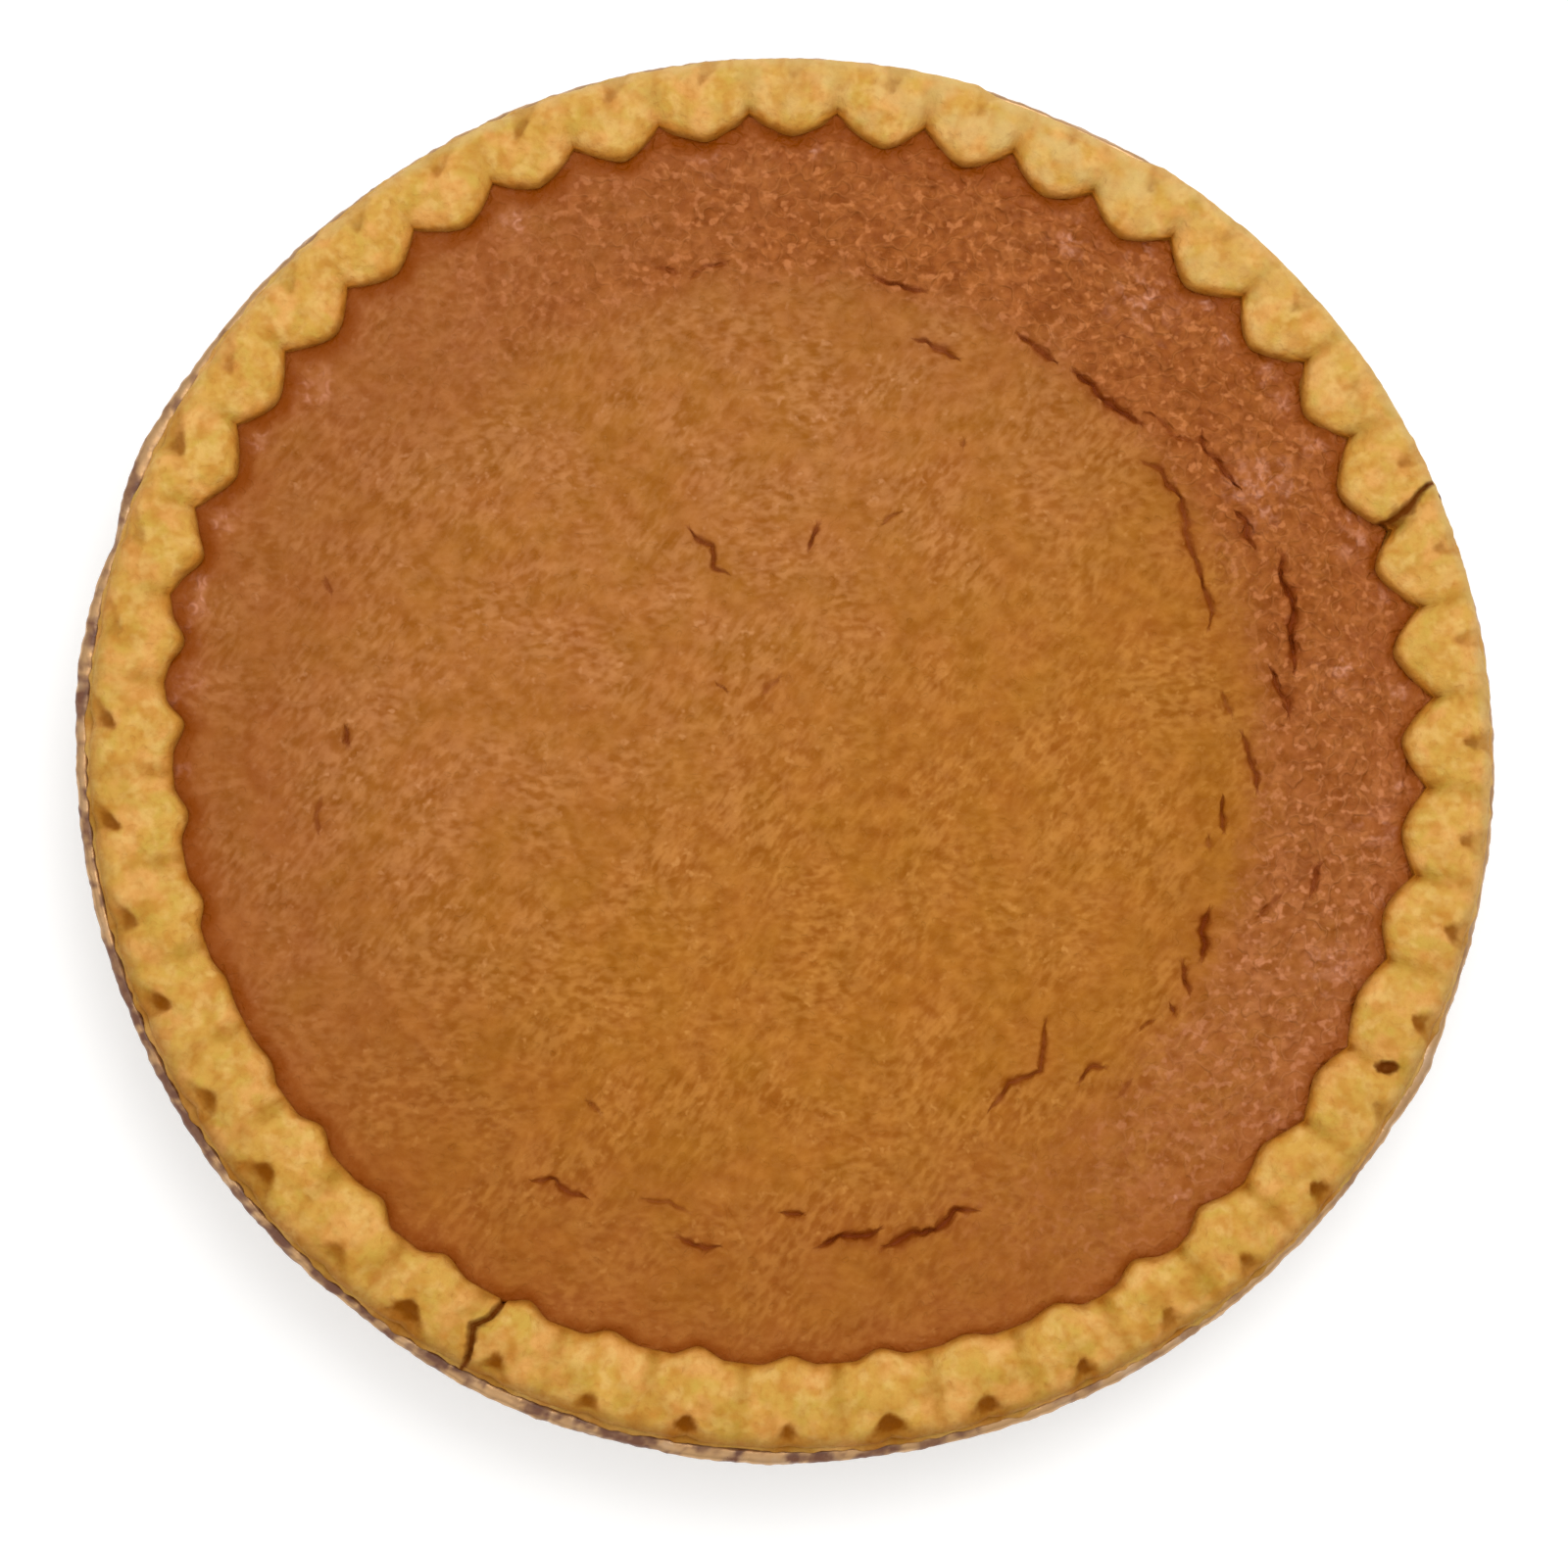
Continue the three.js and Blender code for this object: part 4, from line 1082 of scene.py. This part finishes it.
# The custard: its top sinks in the middle and stays proud in a ring beside the crust
custard = {
    "centreHeight": 30.8 * mm,
    "ringRise": 1.9 * mm,
    "ringStart": 84 * mm,
    "ringEnd": 112 * mm,
    "edgeDrop": 0.3 * mm,
    "edgeDropStart": 121 * mm,
    "edgeDropEnd": 131 * mm,
    "swell": 0.22 * mm,
    "pointSpacing": 0.92 * mm,
    "edgeOverlap": 0.9 * mm,  # how far it runs in under the crust's toe
    "ripple": 0.19 * mm,
    "grain": 0.13 * mm,
    "pit": 0.26 * mm,
    "wrinkle": 0.85 * mm,
    "pucker": 0.35 * mm * 0.6,
    "wrinkleStretch": 0.4,  # wrinkles run round the pie, so they are longer than wide
    "contactShadowBand": (3.1 * mm, 1.5 * mm, 150),  # the dark band beside the crust: painted shadow of the crust over the custard's darker baked edge
    "contactShadowTone": (0.87, 0.13, 125),
    "contactShadowFold": (1.9 * mm, 1.2 * mm, 40),  # how much wider it is in the folds
    "blisters": [  # shiny, bubbled spots with a painted pale highlight: angle, radius and size in millimetres
        (51.3, 124, 6.5), (43.3, 131, 2.6), (35.2, 130.5, 2.4), (28.6, 116, 7), (20, 129.5, 3.5),
        (61, 127, 4), (8, 120, 5), (352, 127, 4), (167.4, 130.5, 3.5), (174.8, 129.5, 3),
        (159.3, 131, 3), (144, 128, 4), (118, 128, 3), (98, 129, 3), (88, 130.5, 1.6),
        (322.1, 131.2, 1.8), (337, 125, 5), (310, 127, 3), (14, 131, 2.4), (22, 131.4, 2.6),
        (30.2, 131.4, 2.6), (38.4, 131.6, 2.8), (47, 132, 2.4), (54.8, 132, 2.6), (151, 131.4, 2.4),
        (158, 131.6, 2.8), (165.6, 131.4, 2.8), (170.4, 131, 2.8), (177, 130.4, 2.6),
        (183.4, 129.8, 1.8), (5, 131, 2.2), (356, 131, 2.2), (345, 131, 1.8),
    ],
    "bubble": 0.22 * mm,
    "swollenLip": 0.28 * mm,  # how proud the custard stands beside a crack
    "pitShare": 0.12,
    "puckered": (96 * mm, 108 * mm, 35),  # where the skin begins to pucker, is puckered, and on which side
    "roughTowards": 40,
    "litTowards": 45,
    "redTowards": 65,
    "goldenTowards": (0.6, -0.8),
    "goldenMost": (67, 26),  # angle and half width
    "outerMost": (225, 48),
}

# Cracks: how strong, then angle in degrees and radius in millimetres along each
crackSizes = {
    "deep": {"width": 2.1 * mm, "depth": 1.5 * mm, "dark": 0.95},
    "medium": {"width": 1.6 * mm, "depth": 0.9 * mm, "dark": 0.75},
    "faint": {"width": 1.3 * mm, "depth": 0.45 * mm, "dark": 0.45},
}
cracks = [
    ("medium", [(61.2, 102.0), (58.9, 101.5), (57.1, 101.3), (55.4, 101.0)]),
    ("deep", [(52.9, 101.8), (50.4, 101.9), (48.5, 101.4), (46.5, 101.4), (44.7, 102.3), (42.7, 103.2)]),
    ("faint", [(43.3, 105.3), (41.4, 106.8), (39.1, 106.7), (37.6, 108.4)]),
    ("medium", [(37.4, 111.8), (35.1, 110.3), (32.4, 111.1), (29.6, 111.6)]),
    ("medium", [(27.9, 108.4), (26.3, 109.5), (24.5, 108.8), (23.0, 108.9)]),
    ("deep", [(21.1, 113.1), (19.0, 112.0), (16.0, 112.7), (14.3, 112.1), (12.2, 110.1), (9.6, 110.0),
              (8.1, 109.3)]),
    ("medium", [(38.8, 98.2), (36.8, 100.0), (33.4, 99.8), (30.3, 99.0), (27.5, 96.7), (23.7, 95.9),
                (19.5, 95.5), (17.5, 95.1), (15.6, 93.4)]),
    ("medium", [(9.0, 104.0), (7.1, 104.7), (5.0, 107.1), (3.2, 106.8)]),
    ("medium", [(1.1, 97.0), (-2.2, 98.4), (-4.3, 100.2), (-5.9, 100.3)]),
    ("medium", [(352.8, 93.2), (348.2, 94.5)]),
    ("faint", [(347.3, 92.0), (345.6, 92.5)]),
    ("faint", [(6.7, 93.5), (3.6, 94.5)]),
    ("medium", [(346.8, 116.4), (344.9, 115.6), (343.6, 115.5)]),
    ("deep", [(337.8, 96.6), (335.0, 96.5), (333.8, 98.6), (331.9, 99.0)]),
    ("medium", [(330.2, 96.1), (327.2, 100.2)]),
    ("medium", [(324.8, 98.5), (324.2, 99.9)]),
    ("faint", [(322.2, 97.2), (319.9, 96.7)]),
    ("faint", [(342.6, 109.6), (339.3, 106.5)]),
    ("medium", [(312.0, 81.1), (308.4, 85.6), (306.8, 88.5), (302.1, 86.8), (297.8, 89.7)]),
    ("medium", [(313.5, 96.1), (312.1, 94.3), (309.9, 95.1)]),
    ("faint", [(314.6, 102.2), (312.2, 102.7)]),
    ("deep", [(290.9, 107.0), (289.0, 106.2), (287.2, 107.6), (286.1, 108.8), (283.6, 107.8), (281.9, 108.7),
              (280.1, 109.5)]),
    ("deep", [(279.8, 105.5), (278.2, 107.0), (275.4, 106.4), (273.0, 107.6)]),
    ("medium", [(268.7, 101.1), (271.2, 101.1)]),
    ("medium", [(239.8, 109.0), (242.0, 106.7), (244.0, 107.7), (246.0, 107.5)]),
    ("faint", [(252.3, 102.8), (255.3, 102.5), (257.6, 102.9)]),
    ("medium", [(257.4, 108.7), (259.0, 109.7), (261.9, 109.0)]),
    ("faint", [(240.7, 88.9), (243.0, 89.7)]),
    ("medium", [(116.1, 50.9), (115.4, 48.3), (112.2, 45.7), (112.9, 44.0), (114.1, 41.1), (111.6, 38.5)]),
    ("medium", [(83.3, 47.3), (85.2, 42.0)]),
    ("faint", [(65.0, 55.4), (67.7, 51.4)]),
    ("faint", [(143.3, 20.3), (145.5, 17.7)]),
    ("faint", [(102.3, 13.9), (122.4, 11.9)]),
    ("medium", [(80.2, 103.9), (77.1, 102.9), (73.8, 102.7)]),
    ("medium", [(73.1, 92.6), (69.5, 92.2), (66.7, 91.5)]),
    ("faint", [(102.4, 103.7), (100.3, 105.3), (97.6, 105.5)]),
    ("faint", [(105.9, 107.0), (103.6, 105.6)]),
    ("medium", [(178.9, 95.1), (181.2, 94.8)]),
    ("faint", [(187.7, 101.5), (191.8, 102.9)]),
    ("faint", [(161.2, 105.4), (162.9, 103.8)]),
    ("faint", [(60.6, 76.0), (60.0, 74.4)]),
]


def crackStations():  # points every few tenths of a millimetre along each crack
    stations = []
    for strength, path in cracks:
        size = crackSizes[strength]
        angles, radii = np.array(path).T
        corners = polarPoints(np.radians(angles), radii * mm, 0)[:, :2]
        lengths = np.hypot(*np.diff(corners, axis=0).T)
        along = np.concatenate([[0], np.cumsum(lengths)])
        at = np.linspace(0, along[-1], max(4, int(along[-1] / (0.4 * mm))))
        line = np.stack([np.interp(at, along, corners[:, axis]) for axis in (0, 1)], -1)
        flat = levelPoints(line)
        wander = 0.8 * mm * lumps(flat, 4 * mm, 2)
        heading = np.gradient(line, axis=0)
        heading /= np.linalg.norm(heading, axis=1, keepdims=True)
        side = np.stack([-heading[:, 1], heading[:, 0]], -1)
        line = line + side * wander[:, None]
        share = at / along[-1]
        taper = np.clip(np.minimum(share, 1 - share) * 6, 0.15, 1) ** 0.5
        swell = np.clip(1 + 0.9 * lumps(flat, 3.5 * mm, 2), 0.45, 1.7)
        for index in range(len(line)):
            stations.append((*line[index], *side[index], size["width"] * taper[index] * swell[index],
                             size["depth"] * taper[index], size["dark"] * mix(0.5, 1, taper[index])))
    return np.array(stations)


def custardHeight(radius, angle):
    ring = custard["ringRise"] * smoothStep(custard["ringStart"], custard["ringEnd"], radius)
    drop = custard["edgeDrop"] * smoothStep(custard["edgeDropStart"], custard["edgeDropEnd"], radius)
    reach = radius / custard["edgeDropEnd"]
    waves = np.sin(2 * angle + 1) + 0.8 * np.sin(3 * angle - 0.7) * reach
    calm = 1 - smoothStep(custard["edgeDropStart"], custard["edgeDropEnd"], radius)
    return custard["centreHeight"] + ring - drop + custard["swell"] * reach * waves * calm


rimLine = rimAt(np.arange(0, pastry["flutes"], 1 / 24))


def alongRim(label, angle):
    return np.interp(angle, rimLine["angle"], rimLine[label], period=2 * math.pi)


def custardPlan(stations):  # points of the top's plan: its edge first, then rows inside it
    rows = []
    for step in (custard["edgeOverlap"], 0.3 * mm, -0.35 * mm, -1.1 * mm):
        rows.append(polarPoints(rimLine["angle"], rimLine["inner"] + step, 0)[:, :2])
    outermost = 143 * mm
    share = math.pi / 0.866  # points of an even pattern in a circle, for each square of its spacing
    count = int((outermost / custard["pointSpacing"]) ** 2 * share)
    order = np.arange(count)
    radius = outermost * np.sqrt((order + 0.5) / count)
    angle = order * math.pi * (3 - math.sqrt(5))
    spread = polarPoints(angle, radius, 0)[:, :2]
    spread = spread[radius < alongRim("inner", angle) - 1.9 * mm]
    across = np.array([0, 0.22, -0.22, 0.45, -0.45, 0.7, -0.7, 1.1, -1.1])
    aside = (stations[:, None, 4] * across[None, :])[..., None]
    beside = stations[:, None, :2] + stations[:, None, 2:4] * aside
    distance, width, depth, dark = nearestStation(spread, stations)
    spread = spread[distance > width * 1.2 + 0.3 * mm]
    return np.concatenate(rows + [beside.reshape(-1, 2), spread]), len(rows[0])


def nearestStation(points, stations):  # how far it is, then its width, depth and darkness
    distance = np.empty(len(points))
    which = np.empty(len(points), int)
    for start in range(0, len(points), 4000):
        part = points[start:start + 4000]
        apart = np.hypot(part[:, None, 0] - stations[None, :, 0], part[:, None, 1] - stations[None, :, 1])
        which[start:start + 4000] = apart.argmin(1)
        distance[start:start + 4000] = apart.min(1)
    return distance, *stations[which, 4:7].T


def crackField(points, stations):  # how deep, how dark, the raised lip and the shaded sides
    distance, width, depth, dark = nearestStation(points, stations)
    away = distance / width
    wall = np.clip(1 - away / 0.5, 0, 1)
    core = dark * np.clip(1.25 - away / 0.45, 0, 1)
    return depth * wall ** 0.8, core, dark * bump(away - 0.8, 0.35), dark * bump(away, 0.95)


def custardRelief(level, radius, angle, marks, stations):  # the height of the top's points
    depth, marks["crack"], lip, marks["crackShade"] = crackField(level[:, :2], stations)
    ring = smoothStep(88 * mm, 112 * mm, radius)
    rough = ring * smoothStep(-0.6, 0.6, facing(angle, custard["roughTowards"]))
    rough = mix(0.7, 1.5, rough)
    relief = custard["ripple"] * lumps(level, 4.5 * mm, 3) + custard["grain"] * lumps(level, 1.6 * mm, 2)
    hollow = pits(level, 2.9 * mm, custard["pitShare"])
    along = np.stack([angle * 110 * mm * custard["wrinkleStretch"], radius, 0 * radius], -1)
    wrinkle = custard["wrinkle"] * lumps(along, 2.8 * mm, 2) * (0.1 + 0.9 * marks["puckered"])
    pucker = custard["pucker"] * np.abs(lumps(level + [0.3, 0, 0], 9 * mm, 2)) * ring
    bubbles = custard["bubble"] * np.abs(lumps(level, 2.2 * mm, 2)) * marks["blister"]
    height = custardHeight(radius, angle) + rough * relief - custard["pit"] * hollow + pucker
    height = height + bubbles + wrinkle
    return height + custard["swollenLip"] * lip - depth


def custardTones(places, level, radius, angle, marks):
    fromToe = alongRim("inner", angle) - radius  # how far inside the crust's toe each point lies
    fold = alongRim("share", angle) ** 2  # 1 at the folds between two flutes, 0 in a flute's middle
    ring = smoothStep(88 * mm, 112 * mm, radius)
    lit = smoothStep(-0.2, 0.9, facing(angle, custard["litTowards"]))
    shadowWidth = swing(custard["contactShadowBand"], angle) + swing(custard["contactShadowFold"], angle) * fold
    fromToeRagged = fromToe + 0.6 * mm * lumps(level, 4 * mm, 2)
    outermost = near(angle, *custard["outerMost"]) * bump(radius - 86 * mm, 18 * mm)
    goldenSide = smoothStep(-50 * mm, 35 * mm, places @ np.array(custard["goldenTowards"]))
    return {
        **marks,
        "outward": smoothStep(70 * mm, 122 * mm, radius) + 0.25 * outermost,
        # on the ring it is stronger on the side away from the light: painted shade
        "rose": smoothStep(11 * mm, 3 * mm, fromToe) * 0.5 + ring * mix(0.5, 0.3, lit),
        "golden": goldenSide + 0.35 * ring * near(angle, *custard["goldenMost"]),
        "reddened": smoothStep(-0.3, 0.8, facing(angle, custard["redTowards"])),
        # painted shadow of the crust over a darker baked edge, strongest towards 125 degrees and wider in
        # the folds
        "edge": (swing(custard["contactShadowTone"], angle) * (1 - 0.3 * fold)
                 * smoothStep(1.15, 0.35, fromToeRagged / shadowWidth)),
        "crackShade": 0.7 * marks["crackShade"],
        "glossy": 0.5 * smoothStep(92 * mm, 112 * mm, radius) * lit,
    }


def makeCustard():
    stations = crackStations()
    plan, edgeCount = custardPlan(stations)
    flat = [Vector(point) for point in (plan / mm).tolist()]
    made = geometry.delaunay_2d_cdt(flat, [], [list(range(edgeCount))], 1, 1e-5)
    places = np.array([tuple(point) for point in made[0]]) * mm
    faces = [list(face) for face in made[2]]
    origin = {source: index for index, sources in enumerate(made[3]) for source in sources}
    edgeOrder = [origin[index] for index in range(edgeCount)]
    radius = np.hypot(places[:, 0], places[:, 1])
    angle = np.arctan2(places[:, 1], places[:, 0])
    level = levelPoints(places)

    puckerStart, puckerFull, puckerTowards = custard["puckered"]
    puckeredSide = smoothStep(-0.5, 0.8, facing(angle, puckerTowards))
    marks = {"puckered": smoothStep(puckerStart, puckerFull, radius) * puckeredSide,
             "blister": np.zeros(len(places))}
    for turn, reach, size in custard["blisters"]:
        spot = polarPoints(math.radians(turn), reach * mm, 0)[:2]
        away = np.hypot(*(places - spot).T)
        marks["blister"] = np.maximum(marks["blister"], bump(away, size * mm))
    height = custardRelief(level, radius, angle, marks, stations)
    sink = smoothStep(2.2 * mm, -0.6 * mm, alongRim("inner", angle) - radius)
    height = height - 0.2 * mm * sink
    top = np.stack([places[:, 0], places[:, 1], height], -1)

    bottom = foil["sheet"] + gap + pastry["baseThickness"] + gap
    inset = gap + pastry["wallThickness"] + gap
    corner = 1 * mm
    rimAngles = np.arctan2(top[edgeOrder, 1], top[edgeOrder, 0])
    skirt = [polarPoints(rimAngles, *size) for size in (
        (wallRadius(pastry["wallTurnHeight"], inset), pastry["wallTurnHeight"]),
        (wallRadius(bottom + corner, inset), bottom + corner),
        (wallRadius(bottom, inset) - corner, bottom))]
    points = np.concatenate([top] + skirt + [[[0, 0, bottom]]])
    before = np.array(edgeOrder)
    for row in range(len(skirt)):
        now = len(top) + row * edgeCount + np.arange(edgeCount)
        faces += np.stack([before, now, np.roll(now, -1), np.roll(before, -1)], -1).tolist()
        before = now
    faces += capFaces(len(top) + 2 * edgeCount, edgeCount, len(points) - 1, False)

    values = custardTones(places, level, radius, angle, marks)
    for label, shown in values.items():
        values[label] = np.append(np.clip(shown, 0, 1), np.zeros(len(points) - len(top)))
    return makePiece("bakedCustard", points, faces, values, bakedCustard, "filling")


makeCustard()
print("custard made")

# A pale floor and soft studio light
studio = {
    "floorSize": 40.0,
    "floorDrop": 0.2 * mm,
    "floorColour": shade(246, 246, 246),
    "floorRoughness": 0.9,
    "floorSpecular": 0.1,
    "floorGlow": 0.2,  # a table lit through from below
    "skyStrength": 0.83,
    "skyAtHorizon": 0.72,
    "skyOverhead": 1.12,
    "skyColour": (1, 0.985, 0.965, 1),
    "keyPower": 8.5,
    "keySize": 1.1,
    "keyAt": (0.35, 0.75, 1.5),
    "fillPower": 2.5,
    "fillSize": 1.6,
    "fillAt": (-0.9, -0.8, 1.3),
}


def makeFloor(setup):
    half = setup["floorSize"] / 2
    corners = [(-half, -half, 0), (half, -half, 0), (half, half, 0), (-half, half, 0)]
    mesh = bpy.data.meshes.new("floor")
    mesh.from_pydata(corners, [], [(0, 1, 2, 3)])
    floor = bpy.data.objects.new("floor", mesh)
    bpy.context.scene.collection.objects.link(floor)
    material, tree, shader = newMaterial("paleFloor")
    shader["Base Color"].default_value = setup["floorColour"]
    shader["Roughness"].default_value = setup["floorRoughness"]
    shader["Specular IOR Level"].default_value = setup["floorSpecular"]
    shader["Emission Color"].default_value = setup["floorColour"]
    shader["Emission Strength"].default_value = setup["floorGlow"]
    mesh.materials.append(material)
    floor.location.z = -setup["floorDrop"]


def makeLamp(name, power, size, at):
    data = bpy.data.lights.new(name, "AREA")
    data.energy = power
    data.size = size
    lamp = bpy.data.objects.new(name, data)
    bpy.context.scene.collection.objects.link(lamp)
    lamp.location = at
    lamp.rotation_euler = Vector(at).to_track_quat("Z", "Y").to_euler()


def makeSky(setup):  # brighter overhead than at the horizon
    world = bpy.data.worlds.new("softSky")
    world.use_nodes = True
    bpy.context.scene.world = world
    tree = world.node_tree
    background = tree.nodes["Background"].inputs
    where = whereOn(tree, "Generated")
    parts = tree.nodes.new("ShaderNodeSeparateXYZ")
    wire(tree, where, parts.inputs[0])
    horizon = setup["skyAtHorizon"] * setup["skyStrength"]
    overhead = setup["skyOverhead"] * setup["skyStrength"]
    wire(tree, remap(tree, parts.outputs["Z"], 0.0, 0.8, horizon, overhead), background["Strength"])
    background["Color"].default_value = setup["skyColour"]


makeFloor(studio)
makeLamp("keyLight", studio["keyPower"], studio["keySize"], studio["keyAt"])
makeLamp("fillLight", studio["fillPower"], studio["fillSize"], studio["fillAt"])
makeSky(studio)
bpy.context.scene.view_settings.view_transform = "Standard"
print("studio ready")
